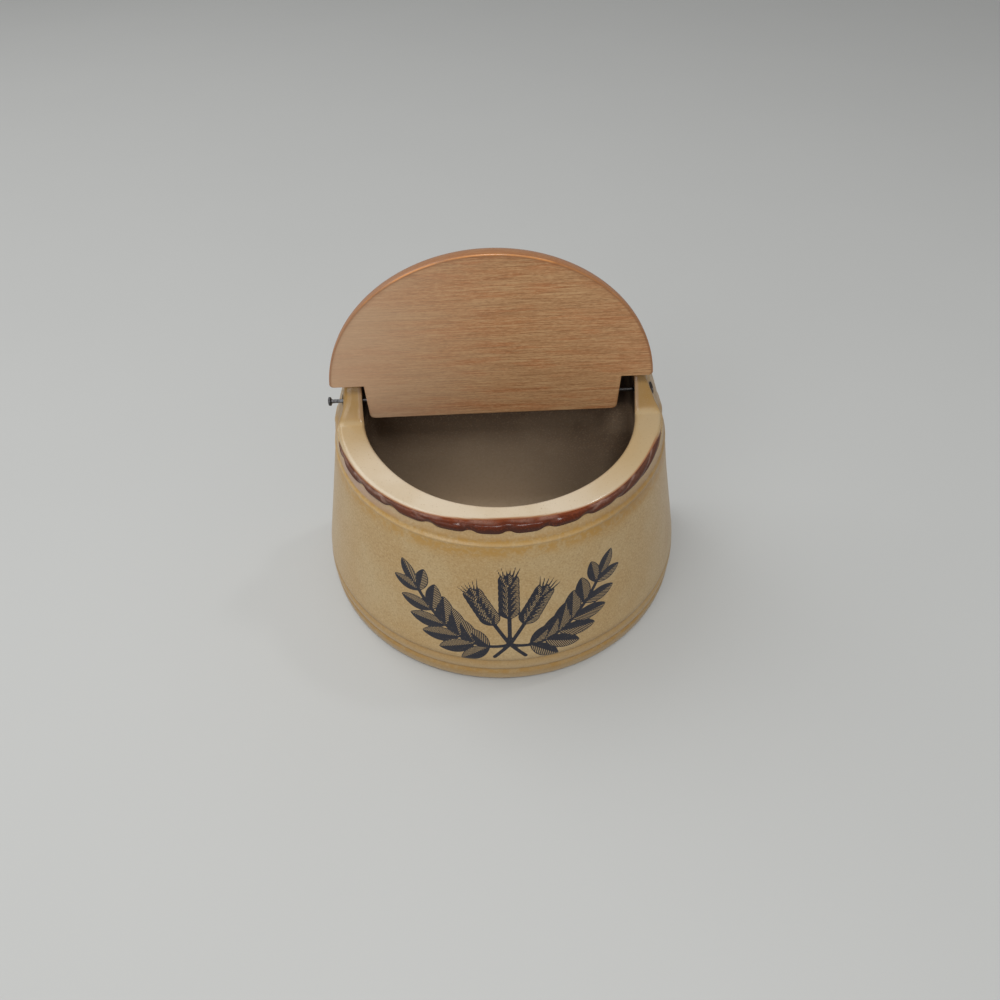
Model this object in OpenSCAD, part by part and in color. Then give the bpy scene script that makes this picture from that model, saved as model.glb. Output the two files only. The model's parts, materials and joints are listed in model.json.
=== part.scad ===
// Stoneware salt box with a wooden half-moon lid.
// A round-fronted, flat-backed crock carries a crimped clay band under its rim.
// Two wire nails through the cheeks of the raised back carry the lid and let it swing up and slide sideways.
// Frame: origin on the underside, below the middle of the round front; the front faces -Y and the back faces +Y.

/* [Crock] */
// Height of the rim above the underside
rim_h = 72.6; // [60:0.1:100]
// Outer radius of the flat rim
rim_r = 57.6; // [50:0.1:70]
// Radius of the mouth inside the rim
mouth_r = 49.3; // [40:0.1:54]
// Outer radius of the foot
foot_r = 70.9; // [66:0.1:90]
// Radius of the wall where it leaves the base moulding
wall_low_r = 70.2; // [64:0.1:86]
// Radius of the wall at the turned line below the band
line_r = 60.4; // [56:0.1:64]
// Thickness of the side wall near the floor
wall_t = 8; // [5:0.1:12]
// Thickness of the floor
floor_t = 8; // [5:0.1:14]
// Radius of the bend between floor and wall inside
floor_round = 9; // [4:0.5:14]
// Thickness of the flat back
back_t = 8; // [6:0.1:12]
// Radius that rounds the upright back edges
back_edge_round = 6; // [2:0.5:8]

/* [Turned lines] */
// Height of the rounded foot below the lower groove
foot_h = 5.6; // [4:0.1:9]
// Height of the ridge between the two grooves
ridge_h = 10; // [9:0.1:16]
// Distance from the ridge to each groove
groove_step = 2.5; // [2:0.1:4]
// Radius of each turned groove
groove_r = 1.2; // [0.6:0.1:1.6]
// Distance of the turned line below the rim
line_drop = 6.9; // [6:0.1:14]
// Radius of the raised turned line
line_bead_r = 0.7; // [0.4:0.1:1.2]

/* [Crimped band] */
// Height of the crimped band
band_h = 3.4; // [3:0.1:6]
// Distance of the band's upper edge below the rim
band_drop = 0.2; // [0.2:0.1:1.5]
// Distance that the band stands out from the wall
band_out = 1.6; // [1:0.1:4]
// Angle of the band to each side of the front
band_half_angle = 74; // [50:1:80]
// Angle between two thumb crimps
crimp_pitch = 13.9; // [8:0.1:20]
// Radius of the thumb crimp
crimp_r = 3.4; // [2:0.1:5]
// Depth of the thumb crimp in the band
crimp_depth = 0.6; // [0.3:0.1:1.8]
// Slant of the crimps from upright
crimp_slant = 40; // [0:1:60]

/* [Raised back] */
// Height of the back plate above the rim
plate_rise = 35.4; // [20:0.1:50]
// Half-width of the arch at the top of the cheeks
arch_half_w = 52; // [40:0.5:56]
// Lean of the cheeks' outer faces inwards
cheek_lean = 26; // [5:1:30]
// Lean of the cheeks' inner faces inwards
cheek_in_lean = 8; // [0:1:10]
// Reach of the cheeks in front of the hinge axis
cheek_front = 7.1; // [5:0.1:8]
// Lean of the cheeks' front ramp from upright
ramp_lean = 27; // [10:1:40]
// Radius of the bend between rim and ramp
ramp_round = 1.6; // [0.5:0.1:2]
// Distance between the cheeks' tops and the open lid's shoulders
cheek_clear = 2.2; // [1.5:0.1:4]
// Diameter of the hanging hole
hang_d = 8; // [5:0.1:12]
// Distance of the hanging hole below the top of the plate
hang_drop = 10; // [8:0.5:14]

/* [Lid] */
// Thickness of the lid board
board_t = 8; // [6:0.1:10]
// Radius of the lid's round edge
lid_r = 55.8; // [50:0.1:62]
// Distance of the round edge's centre in front of the hinge axis
lid_arc_front = 2.8; // [0:0.1:6]
// Sideways distance of the round edge's centre from the middle of the tab
lid_arc_side = -0.4; // [-3:0.05:3]
// Distance of the shoulders in front of the hinge axis
shoulder = 10; // [9.5:0.1:14]
// Half of the tab's width
tab_half_w = 44.15; // [36:0.05:46]
// Reach of the tab behind the hinge axis
tab_back = 5.3; // [4:0.1:7]
// Radius of the tab's corners
tab_round = 2; // [0.5:0.1:4]
// Radius that rounds the upper edge of the lid
edge_round = 5; // [1:0.1:5.5]
// Angle to which the lid stands open
lid_open = 85; // [0:1:96]
// Sideways place of the tab's middle between the cheeks
lid_side = -1.9; // [-3:0.1:3]

/* [Hinge] */
// Place of the hinge axis behind the middle of the round front
hinge_y = -0.4; // [-3:0.1:3]
// Gap under the closed lid
lid_gap = 0.15; // [0.1:0.05:0.5]
// Diameter of a nail's shank
nail_d = 1.4; // [1:0.1:1.8]
// Length of a nail's shank
nail_len = 25; // [22:0.5:40]
// Length of a nail's point
nail_point = 2.5; // [1:0.1:4]
// Diameter of a nail's head
nail_head_d = 3.1; // [2:0.1:3.3]
// Thickness of a nail's head
nail_head_t = 1; // [0.6:0.1:1.5]
// Length of the left nail's shank that stands out of the tab
left_nail_out = 13.3; // [6:0.1:18]
// Length of the right nail's shank that stands out of the tab
right_nail_out = 9; // [6:0.1:18]
// Clearance around a nail in the wood
nail_clear = 0.05; // [0.02:0.01:0.1]
// Diameter of the hole in each cheek
cheek_hole_d = 4; // [4:0.1:5]
// Distance of the cheek holes' middle above the nails
hole_rise = 0.3; // [0:0.05:0.4]
// Clearance between the tab's swing and the back
back_clear = 0.95; // [0.5:0.05:3]

/* [Hidden] */

$fn = 96;

glaze = [0.75, 0.62, 0.43];
brown_glaze = [0.40, 0.20, 0.13];
beech = [0.74, 0.55, 0.42];
steel = [0.62, 0.62, 0.62];

// Cuts run this far past the faces that they open
past = 1;
reach = 4 * foot_r;

hinge_z = rim_h + lid_gap + board_t / 2;
tab_swing = norm([tab_back, board_t / 2]);
back_in = hinge_y + tab_swing + back_clear;
back_out = back_in + back_t;
plate_top = rim_h + plate_rise;
cheek_top = hinge_z + shoulder - cheek_clear;
arch_rise = plate_top - cheek_top;
arch_r = (pow(arch_half_w, 2) + pow(arch_rise, 2)) / (2 * arch_rise);

line_z = rim_h - line_drop;
wall_low_z = ridge_h + 2 * groove_step;
wall_lean = atan2(wall_low_r - line_r, line_z - wall_low_z);
band_top = rim_h - band_drop;
band_low = band_top - band_h;
band_mid = (band_top + band_low) / 2;
// The wall leans on from the turned line to the rim, and the band sits on that slope
neck_slope = (line_r - rim_r) / (rim_h - line_z);
neck_lean = atan(neck_slope);
function neck_r(z) = rim_r + neck_slope * (rim_h - z);
// The band is a bead whose chord lies on the neck
band_half_chord = band_h / cos(neck_lean) / 2;
band_bead_r = (pow(band_half_chord, 2) + pow(band_out, 2)) / (2 * band_out);
crown_r = rim_r - (plate_top - rim_h) * tan(cheek_lean);
crown_in_r = mouth_r - (plate_top + past - rim_h) * tan(cheek_in_lean);
crimp_n = floor(band_half_angle / crimp_pitch - 0.5);

function arc_points(centre, radius, start, end, steps = 12) =
    [for (i = [0 : steps]) let (a = start + (end - start) * i / steps) centre + radius * [cos(a), sin(a)]];

// Stands a flat drawing of X and Z upright and carries it from y = start to y = end
module along_y(start, end) {
    translate([0, end, 0])
        rotate([90, 0, 0])
            linear_extrude(end - start)
                children();
}

// Stands a flat drawing of Y and Z upright and carries it across X
module along_x(start, end) {
    translate([start, 0, 0])
        rotate([90, 0, 90])
            linear_extrude(end - start)
                children();
}

// Turns half a section into the round front and runs it straight to the back at y = end
module round_front(end) {
    rotate([0, 0, 180])
        rotate_extrude(angle = 180)
            children();
    along_y(0, end) {
        children();
        mirror([1, 0])
            children();
    }
}

// Half section of the outside: foot, grooves, ridge, leaning wall, neck and raised crown
module outer_section() {
    foot_edge = foot_h / 2;
    union() {
        difference() {
            polygon([
                [0, 0],
                [foot_r - foot_edge, 0],
                [foot_r, foot_edge],
                [foot_r, ridge_h],
                [wall_low_r, wall_low_z],
                [line_r, line_z],
                [rim_r, rim_h],
                [crown_r, plate_top],
                [0, plate_top]
            ]);
            for (side = [-1, 1])
                translate([foot_r + groove_r / 2, ridge_h + side * groove_step])
                    circle(groove_r);
        }
        translate([foot_r - foot_edge, foot_edge])
            circle(foot_edge);
        translate([line_r, line_z])
            circle(line_bead_r);
    }
}

// Half section of the hollow: floor with a round bend, wall that draws in, open mouth, inner faces of the cheeks
module hollow_section() {
    low_r = wall_low_r - wall_t;
    bend = [low_r - floor_round, floor_t + floor_round];
    polygon(concat(
        [[0, floor_t]],
        arc_points(bend, floor_round, -90, 0),
        [[mouth_r, rim_h], [crown_in_r, plate_top + past], [0, plate_top + past]]
    ));
}

// Outline of the back seen from the front: straight up to the arch
module back_outline() {
    intersection() {
        translate([-reach / 2, 0])
            square([reach, plate_top]);
        union() {
            translate([0, plate_top - arch_r])
                circle(arch_r);
            translate([-reach / 2, 0])
                square([reach, rim_h]);
        }
    }
}

// What is cut away above the rim, seen from the side: the ramp's front and the space above the cheeks
module front_cut_outline() {
    toe = hinge_y - cheek_front;
    ramp_top = toe + (cheek_top - rim_h) * tan(ramp_lean);
    bend = [toe - ramp_round * tan(45 - ramp_lean / 2), rim_h + ramp_round];
    polygon(concat(
        [[-reach / 2, rim_h]],
        arc_points(bend, ramp_round, -90, -ramp_lean),
        [[ramp_top, cheek_top], [back_in, cheek_top], [back_in, plate_top + past], [-reach / 2, plate_top + past]]
    ));
}

// Removes the corner along an upright back edge that leans with the wall
module back_edge_cut() {
    size = 2 * back_edge_round;
    for (side = [-1, 1])
        translate([side * line_r, back_out, line_z])
            rotate([0, -side * wall_lean, 0])
                translate([-side * back_edge_round, -back_edge_round, -plate_top])
                    difference() {
                        translate([side > 0 ? 0 : -size, 0, 0])
                            cube([size, size, 2 * plate_top]);
                        translate([0, 0, -past])
                            cylinder(r = back_edge_round, h = 2 * (plate_top + past));
                    }
}

module crock_body() {
    color(glaze)
        difference() {
            intersection() {
                round_front(back_out)
                    outer_section();
                along_y(-reach / 2, reach / 2)
                    back_outline();
            }
            round_front(back_in)
                hollow_section();
            along_x(-reach / 2, reach / 2)
                front_cut_outline();
            back_edge_cut();
            // Cheek holes for the nails
            translate([-reach / 2, hinge_y, hinge_z + hole_rise])
                rotate([0, 90, 0])
                    cylinder(d = cheek_hole_d, h = reach);
            // Hanging hole
            along_y(back_in - past, back_out + past)
                translate([0, plate_top - hang_drop])
                    circle(d = hang_d);
        }
}

// Section of the band: a full bead on the neck's slope
module band_section() {
    intersection() {
        translate([neck_r(band_mid), band_mid])
            rotate(neck_lean)
                translate([band_out - band_bead_r, 0])
                    circle(band_bead_r);
        polygon([
            [neck_r(band_low), band_low],
            [neck_r(band_low) + 2 * band_out, band_low],
            [neck_r(band_top) + 2 * band_out, band_top],
            [neck_r(band_top), band_top]
        ]);
    }
}

module crimped_band() {
    color(brown_glaze)
        difference() {
            rotate([0, 0, -90 - band_half_angle])
                rotate_extrude(angle = 2 * band_half_angle)
                    band_section();
            for (i = [-crimp_n : crimp_n])
                rotate([0, 0, i * crimp_pitch - 90])
                    translate([neck_r(band_mid) + band_out + crimp_r - crimp_depth, 0, band_mid])
                        rotate([crimp_slant, 0, 0])
                            cylinder(r = crimp_r, h = 4 * band_h, center = true);
        }
}

// Outline of the lid seen from above, with the hinge axis along X and the front towards -Y
module lid_outline() {
    intersection() {
        translate([lid_arc_side, -lid_arc_front])
            circle(lid_r);
        translate([-reach / 2, -reach / 2])
            square([reach, reach / 2 - shoulder]);
    }
    translate([-tab_half_w, -shoulder - past])
        square([2 * tab_half_w, shoulder + past + tab_back - tab_round]);
    translate([-tab_half_w + tab_round, -shoulder])
        square([2 * (tab_half_w - tab_round), shoulder + tab_back]);
    for (side = [-1, 1])
        translate([side * (tab_half_w - tab_round), tab_back - tab_round])
            circle(tab_round);
}

// Section of the lid's round edge: flat below, rounded above
module lid_edge_section() {
    polygon(concat(
        [[0, -board_t / 2], [lid_r, -board_t / 2]],
        arc_points([lid_r - edge_round, board_t / 2 - edge_round], edge_round, 0, 90),
        [[0, board_t / 2]]
    ));
}

// Swings and slides what is drawn on the hinge axis into the place where the lid stands
module on_hinge() {
    translate([lid_side, hinge_y, hinge_z])
        rotate([-lid_open, 0, 0])
            children();
}

// A nail along X with the underside of its head at x = 0 and its point towards +X
module nail() {
    rotate([0, 90, 0])
        rotate_extrude()
            polygon([
                [0, -nail_head_t],
                [nail_head_d / 2, -nail_head_t],
                [nail_head_d / 2, 0],
                [nail_d / 2, 0],
                [nail_d / 2, nail_len - nail_point],
                [0, nail_len]
            ]);
}

// The hole that a nail makes in the wood, with its clearance
module nail_hole(out) {
    depth = nail_len - out + past;
    translate([out - past, 0, 0])
        rotate([0, 90, 0])
            cylinder(d = nail_d + 2 * nail_clear, h = depth + past);
}

// Sets a nail, or its hole, at the left side of the tab
module at_left(out) {
    translate([-tab_half_w - out, 0, 0])
        children();
}

// Sets a nail, or its hole, at the right side of the tab
module at_right(out) {
    mirror([1, 0, 0])
        at_left(out)
            children();
}

module lid_board() {
    color(beech)
        on_hinge()
            difference() {
                intersection() {
                    translate([0, 0, -board_t / 2])
                        linear_extrude(board_t)
                            lid_outline();
                    translate([lid_arc_side, -lid_arc_front, 0])
                        rotate_extrude()
                            lid_edge_section();
                }
                at_left(left_nail_out)
                    nail_hole(left_nail_out);
                at_right(right_nail_out)
                    nail_hole(right_nail_out);
            }
}

module left_hinge_nail() {
    color(steel)
        on_hinge()
            at_left(left_nail_out)
                nail();
}

module right_hinge_nail() {
    color(steel)
        on_hinge()
            at_right(right_nail_out)
                nail();
}

crock_body();
crimped_band();
lid_board();
left_hinge_nail();
right_hinge_nail();
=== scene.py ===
"""Salt box: a stoneware crock with a crimped band, a half-moon board lid and two hinge nails.

Laid out as an add-on: property groups hold the sizes and colours, an operator makes each piece or pair, and
a sidebar panel lists them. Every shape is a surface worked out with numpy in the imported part's own frame:
origin on the underside, front towards -Y, flat back towards +Y, +Z up, in metres.
"""

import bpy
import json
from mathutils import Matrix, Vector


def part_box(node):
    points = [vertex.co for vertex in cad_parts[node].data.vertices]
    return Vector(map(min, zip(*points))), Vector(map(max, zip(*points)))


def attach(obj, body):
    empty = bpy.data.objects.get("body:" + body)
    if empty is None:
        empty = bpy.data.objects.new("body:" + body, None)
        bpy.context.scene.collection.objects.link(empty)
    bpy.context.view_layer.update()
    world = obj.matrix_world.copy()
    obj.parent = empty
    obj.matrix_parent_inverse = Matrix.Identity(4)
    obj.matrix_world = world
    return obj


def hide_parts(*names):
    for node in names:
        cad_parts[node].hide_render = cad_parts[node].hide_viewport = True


bl_info = {
    "name": "Salt Box",
    "version": (1, 0, 0),
    "blender": (4, 5, 0),
    "location": "3D View > Sidebar > Salt Box",
    "description": "Makes a stoneware salt box with a hinged board lid",
    "category": "Add Mesh",
}

import json
import math

import bpy
import numpy as np
from bpy.props import FloatProperty, FloatVectorProperty, IntProperty, PointerProperty
from mathutils import Matrix

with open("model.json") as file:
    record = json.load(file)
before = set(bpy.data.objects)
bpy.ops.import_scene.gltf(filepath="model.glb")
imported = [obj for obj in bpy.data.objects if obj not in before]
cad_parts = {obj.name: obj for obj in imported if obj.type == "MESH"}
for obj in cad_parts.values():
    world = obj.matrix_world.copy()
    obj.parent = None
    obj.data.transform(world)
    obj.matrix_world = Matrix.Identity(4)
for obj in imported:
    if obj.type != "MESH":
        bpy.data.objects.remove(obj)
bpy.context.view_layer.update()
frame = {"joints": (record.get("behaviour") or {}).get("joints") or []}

MM = 0.001

CROCK_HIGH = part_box("crock_body")[1]
JOINTS = {joint["name"]: joint for joint in frame["joints"]}
HINGE = JOINTS["lid_hinge"]["pos_m"]
LID_OPEN = -JOINTS["lid_hinge"]["range_deg"][0]


# Properties


BYTE_MOST = 255
SRGB_KNEE = 0.04045
SRGB_SLOPE = 12.92
SRGB_SHIFT = 0.055
SRGB_POWER = 2.4
LENGTH_DIGITS = 5
COUNT_MOST = 12


def linear(red, green, blue):
    """A colour given in eight-bit sRGB, as linear light."""
    level = np.array([red, green, blue]) / BYTE_MOST
    high = ((level + SRGB_SHIFT) / (1 + SRGB_SHIFT)) ** SRGB_POWER
    return np.where(level <= SRGB_KNEE, level / SRGB_SLOPE, high).tolist()


def length(name, description, metres):
    """A size that the sidebar shows with its unit."""
    digits = LENGTH_DIGITS
    return FloatProperty(name=name, description=description, default=metres, unit="LENGTH", precision=digits)


def angle(name, description, degrees):
    """An angle that the sidebar shows in degrees."""
    radians = math.radians(degrees)
    return FloatProperty(name=name, description=description, default=radians, subtype="ANGLE")


def share(name, description, value):
    """A share from nothing to all."""
    return FloatProperty(name=name, description=description, default=value, min=0, max=1, subtype="FACTOR")


def colour(name, description, red, green, blue):
    """A colour whose default is written in eight-bit sRGB."""
    default = linear(red, green, blue)
    return FloatVectorProperty(
        name=name, description=description, default=default, size=3, min=0, max=1, subtype="COLOR"
    )


def number(name, description, value, least):
    """A number of like things."""
    return IntProperty(name=name, description=description, default=value, min=least, max=COUNT_MOST)


def pixels(name, description, value):
    """A measure in pixels of the picture."""
    return FloatProperty(name=name, description=description, default=value, subtype="PIXEL")


def watts(name, description, value):
    """The power of a lamp."""
    return FloatProperty(name=name, description=description, default=value, unit="POWER")


class CrockSettings(bpy.types.PropertyGroup):
    """Sizes and glazes of the stoneware crock."""

    rim_h: length("Rim height", "Height of the flat rim above the underside", 72.6 * MM)
    rim_r: length("Rim radius", "Outer radius of the rim", 57.6 * MM)
    mouth_r: length("Mouth radius", "Radius of the mouth inside the rim", 48.4 * MM)
    foot_r: length("Foot radius", "Outer radius of the foot", CROCK_HIGH.x)
    foot_round: length("Foot round", "Radius that rounds the foot's lower edge", 2.8 * MM)
    wall_low_r: length("Wall radius", "Radius of the wall above the base moulding", 70.2 * MM)
    line_r: length("Line radius", "Radius of the wall at the turned line", 59.3 * MM)
    forward: length("Forward lean", "How far neck and mouth lie in front of the foot's middle", 1.8 * MM)
    rim_forward: length("Rim lean", "How far the rim's edge lies in front of the foot's middle", 1.1 * MM)
    left_flare: length("Left flare", "How far the upper left side widens towards the flat back", 1.05 * MM)
    right_flare: length("Right flare", "How far the upper right side widens towards the flat back", 1.3 * MM)
    line_drop: length("Line drop", "Distance of the turned line below the rim", 6.9 * MM)
    line_out: length("Line height", "How far the turned line stands out", 0.26 * MM)
    line_w: length("Line width", "Half-width of the turned line", 0.45 * MM)
    wall_t: length("Wall", "Thickness of the wall near the floor", 8 * MM)
    floor_t: length("Floor", "Thickness of the floor", 8 * MM)
    floor_round: length("Floor bend", "Radius of the bend between floor and wall", 9 * MM)
    back_round: length("Back bend", "Radius of the bend between floor and back", 4 * MM)
    ridge_h: length("Ridge height", "Height of the ridge between the two grooves", 10 * MM)
    groove_step: length("Groove step", "Distance from the ridge to each groove", 2.6 * MM)
    groove_depth: length("Groove depth", "Depth of each turned groove", 0.8 * MM)
    groove_w: length("Groove width", "Half-width of each turned groove", 1.0 * MM)
    rim_round: length("Rim round", "Radius of the rim's outer edge", 1.8 * MM)
    left_round: length("Left cheek round", "How much rounder the left cheek's outer edge is", 1.1 * MM)
    right_round: length("Right cheek round", "How much rounder the right cheek's outer edge is", 2.4 * MM)
    mouth_round: length("Mouth round", "Radius of the rim's inner edge", 1.1 * MM)
    mouth_swell: length("Mouth swell", "How far the mouth widens at the front", 0.2 * MM)
    mouth_dent: length("Mouth dent", "How far the mouth draws in at the left", 0.9 * MM)
    back_y: length("Back", "Place of the flat back", CROCK_HIGH.y)
    back_t: length("Back thickness", "Thickness of the flat back", 8 * MM)
    corner_r: length("Back corners", "Radius of the upright back edges", 6 * MM)
    inner_corner_r: length("Inner corners", "Radius of the upright corners inside", 2.5 * MM)
    plate_top: length("Plate top", "Height of the arched back plate", CROCK_HIGH.z)
    plate_round: length("Plate round", "Radius of the plate's upper edges", 2.2 * MM)
    arch_half_w: length("Arch half-width", "Half-width of the arch at the top of the cheeks", 52 * MM)
    cheek_top: length("Cheek top", "Height of the cheeks' tops", 84.55 * MM)
    cheek_front: length("Cheek reach", "Reach of the cheeks in front of the hinge axis", 7.1 * MM)
    cheek_lean: angle("Cheek lean", "Lean of the cheeks' outer faces inwards", 25)
    lean_stop: length("Lean stop", "Height above the rim where the left cheek's face turns upright", 7.6 * MM)
    cheek_in_lean: angle("Inner lean", "Lean of the cheeks' inner faces inwards", 3.5)
    ramp_lean: angle("Ramp lean", "Lean of the cheeks' front ramp from upright", 27)
    nail_hole_d: length("Cheek hole", "Diameter of the hole in each cheek", 4 * MM)
    nail_hole_rise: length("Cheek hole rise", "Height of the cheek holes' middle above the nails", 0.3 * MM)
    hang_d: length("Hanging hole", "Diameter of the hanging hole", 8 * MM)
    hang_drop: length("Hanging hole drop", "Distance of the hanging hole below the plate's top", 10 * MM)
    cream_r: length("Cream radius", "Radius to which the cream glaze covers the rim", 58 * MM)
    cream_draw: length("Cream draw", "How far the cream glaze draws in at the front", 2.1 * MM)
    cream_draw_right: length("Cream draw right", "How far the cream glaze draws in at the right", 0.9 * MM)
    honey: colour("Honey glaze", "Satin glaze of the outside", 178, 147, 98)
    straw: colour("Straw glaze", "Paler cloud in the honey glaze", 183, 157, 113)
    ochre: colour("Ochre glaze", "Glaze pooled in grooves and under the band", 176, 133, 60)
    # Thin glaze, in part a painted highlight on the foot's lip and the ridge
    thin: colour("Thin glaze", "Pale glaze where it breaks over ridges", 206, 181, 140)
    # The fleck colour is also the colour of the painted shade
    fleck_and_shade: colour("Fleck", "Fine dark flecks in the glaze", 140, 108, 64)
    cream: colour("Cream glaze", "Glossy glaze of the rim", 211, 197, 174)
    tan: colour("Tan glaze", "Yellower glaze of the rim's sides and ramps", 188, 164, 124)
    # The inside colour is in part painted shade near the mouth; the inside floor colour is in part a painted
    # pool of light towards the floor
    inside: colour("Inside glaze", "Dull glaze of the inside near the mouth", 94, 75, 59)
    inside_pale_and_light: colour("Inside floor", "Paler glaze towards the floor inside", 198, 177, 150)
    # Painted shade: near-black brown for the deep shade inside behind the hinge and in the cheek bores
    corner_painted_shade: colour("Corner glaze", "Dark glaze inside behind the hinge", 48, 37, 29)
    rust: colour("Rust line", "Rusty edge where brown glaze meets cream", 150, 92, 54)
    clay: colour("Bare clay", "Unglazed clay of the underside", 206, 186, 154)
    ink: colour("Ink", "Blue-black ink of the printed spray", 8, 10, 30)


class BandSettings(bpy.types.PropertyGroup):
    """Sizes and glazes of the crimped band."""

    height: length("Height", "Distance of the band's lower edge below the rim", 2.9 * MM)
    scallop: length("Scallop", "How far the lower edge climbs at a crimp", 1.1 * MM)
    out: length("Stand-out", "How far the band stands out at the sides", 1.0 * MM)
    front_out: length("Front stand-out", "How much further the band stands out at the front", 0.6 * MM)
    half_angle: angle("Half angle", "Angle of the band to each side of the front", 77)
    crimp_pitch: angle("Crimp pitch", "Angle between two thumb crimps", 13.9)
    crimp_start: angle("Crimp start", "Angle of the first crimp from the front", 0.5)
    crimp_slant: angle("Crimp slant", "Angle by which a crimp leans over half the band's height", 3)
    crimp_depth: share("Crimp depth", "Depth of a crimp as a share of the stand-out", 0.6)
    narrow: share("Narrowing", "Share by which the band narrows to the right", 0.3)
    smooth: share("Smoothing", "Share by which the scallops fade to the right", 0.85)
    brown: colour("Brown glaze", "Red-brown glaze of the band", 90, 40, 21)
    # Dark: real dark specks, and painted shade in the lower half and in the crimps' notches
    dark: colour("Dark glaze", "Purple-brown glaze of the lower half", 70, 40, 31)
    # Mauve: greyer brown of the sides, in part a painted reflection of the surroundings
    mauve_and_reflection: colour("Mauve glaze", "Greyer brown glaze of the sides", 86, 59, 48)
    # Lilac: pale glaze, in part a painted reflection in the crimps, on the band's upper part and in the
    # channel below it
    lilac: colour("Lilac glaze", "Pale lilac glaze in the crimps and below the band", 172, 144, 130)
    rust: colour("Rust glaze", "Rusty glaze along the upper edge", 124, 62, 36)


class LidSettings(bpy.types.PropertyGroup):
    """Sizes and finish of the board lid."""

    board_t: length("Thickness", "Thickness of the board", 8 * MM)
    radius: length("Radius", "Radius of the round edge", 55.8 * MM)
    arc_front: length("Arc centre", "Distance of the arc's centre in front of the hinge axis", 3.3 * MM)
    arc_side: length("Arc side", "Sideways place of the arc's centre from the tab's middle", -0.4 * MM)
    shoulder: length("Shoulder", "Distance of the shoulders in front of the hinge axis", 10 * MM)
    tab_half_w: length("Tab half-width", "Half of the tab's width", 44.15 * MM)
    tab_back: length("Tab reach", "Reach of the tab behind the hinge axis", 5.3 * MM)
    tab_round: length("Tab corners", "Radius of the tab's corners", 1.6 * MM)
    tip_round: length("Shoulder tips", "Radius where the round edge meets a shoulder", 1.1 * MM)
    notch_round: length("Notch round", "Radius of the inner corner beside the tab", 0.4 * MM)
    edge_round: length("Round-over", "Radius that rounds the upper round edge", 6.5 * MM)
    arris: length("Arris", "Small round of all other edges", 0.5 * MM)
    open: angle("Open angle", "Angle to which the lid stands open", LID_OPEN)
    bleed: length("Varnish bleed", "How far the varnish creeps onto the bare underside", 2.0 * MM)
    wood: colour("Wood", "Bare wood of the underside", 190, 143, 98)
    pink: colour("Rosy wood", "Rosy streaks in the bare wood", 188, 120, 72)
    pore: colour("Pores", "Fine dark flecks along the grain", 136, 94, 58)
    pale: colour("Pale fibres", "Fine light fibres along the grain", 216, 177, 130)
    # Painted sheen: paler, greyer wood towards the left, where the light falls
    left_painted_sheen: colour("Bleached wood", "Paler, greyer wood towards the left", 204, 172, 142)
    varnish: colour("Varnish", "Varnished wood of the top and edge", 138, 87, 47)
    # Painted highlight along the edge of the bare face, in part lighter worn wood
    edge_wear_and_highlight: colour("Edge line", "Bright line of varnish along the edge of the bare face", 226, 152, 84)


class NailSettings(bpy.types.PropertyGroup):
    """Sizes and finish of the hinge nails."""

    shank_d: length("Shank", "Diameter of the shank", 1.4 * MM)
    head_d: length("Head", "Diameter of the head", 3.1 * MM)
    head_t: length("Head thickness", "Thickness of the head", 1 * MM)
    head_round: length("Head round", "Radius of the head's edge", 0.25 * MM)
    point: length("Point", "Length of the point", 2.5 * MM)
    grip_step: length("Grip step", "Distance between the gripping grooves under the head", 0.5 * MM)
    grip_depth: length("Grip depth", "Depth of the gripping grooves", 0.06 * MM)
    steel: colour("Steel", "Drawn wire", 128, 128, 130)
    # Soot is the dark scale's colour, and also the painted shade on the right nail's shank, which lies in the
    # dark gap
    soot: colour("Soot", "Dark scale in the grooves and on the head", 48, 46, 45)
    right_painted_shade: share("Right soot", "Share of the right nail's shank that dark scale covers", 0.8)


class PrintSettings(bpy.types.PropertyGroup):
    """Sizes of the printed spray of wheat and leaves."""

    middle_h: length("Knot height", "Height where the stems cross", 22 * MM)
    half_w: length("Half-width", "Reach of a leafy stem to each side", 33 * MM)
    tip_h: length("Tip height", "Height of the leafy stems' tips", 45 * MM)
    ear_h: length("Ear height", "Height of the middle ear's tip", 51 * MM)
    ear_fan: angle("Ear fan", "Angle of the outer ears from upright", 27)
    leaf_l: length("Leaf", "Length of the largest leaf", 13.5 * MM)
    leaf_w: length("Leaf width", "Width of the largest leaf", 6.8 * MM)
    grain_l: length("Grain", "Length of a grain", 6.8 * MM)
    grain_w: length("Grain width", "Width of a grain", 3.8 * MM)
    awn_l: length("Awn", "Length of a bristle above an ear", 11 * MM)
    awn_w: length("Awn width", "Width of a bristle above an ear", 0.7 * MM)
    stem_w: length("Stem", "Width of a stem", 1.5 * MM)
    leaf_pairs: number("Leaf pairs", "Pairs of leaves on each stem", 6, 2)
    grain_pairs: number("Grain pairs", "Pairs of grains on each ear", 6, 3)


class StageSettings(bpy.types.PropertyGroup):
    """Camera, lights and floor."""

    distance: length("Distance", "Distance from the camera to the origin", 313.9 * MM)
    elevation: angle("Elevation", "Angle at which the camera looks down", 46.94)
    roll: angle("Roll", "Turn of the camera about its own axis", -1.37)
    yaw: angle("Yaw", "Turn of the box against the camera", 1.6)
    origin_right: pixels("Origin right", "Pixel column of the origin", 501.6)
    origin_down: pixels("Origin down", "Pixel row of the origin", 533.4)
    focal: pixels("Focal length", "Focal length in pixels", 722.0)
    floor: colour("Floor", "Pale floor", 192, 193, 191)
    sky: FloatProperty(name="Sky", description="Strength of the even light from all around", default=0.36)
    key: watts("Key light", "Power of the large lamp above the left", 5.2)
    fill: watts("Fill light", "Power of the lamp above the front", 3.4)
    sheen: watts("Sheen light", "Power of the low lamp at the front left", 2.2)
    glint: watts("Glint", "Power of the small lamp above the right", 0.6)


# Surfaces


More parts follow.
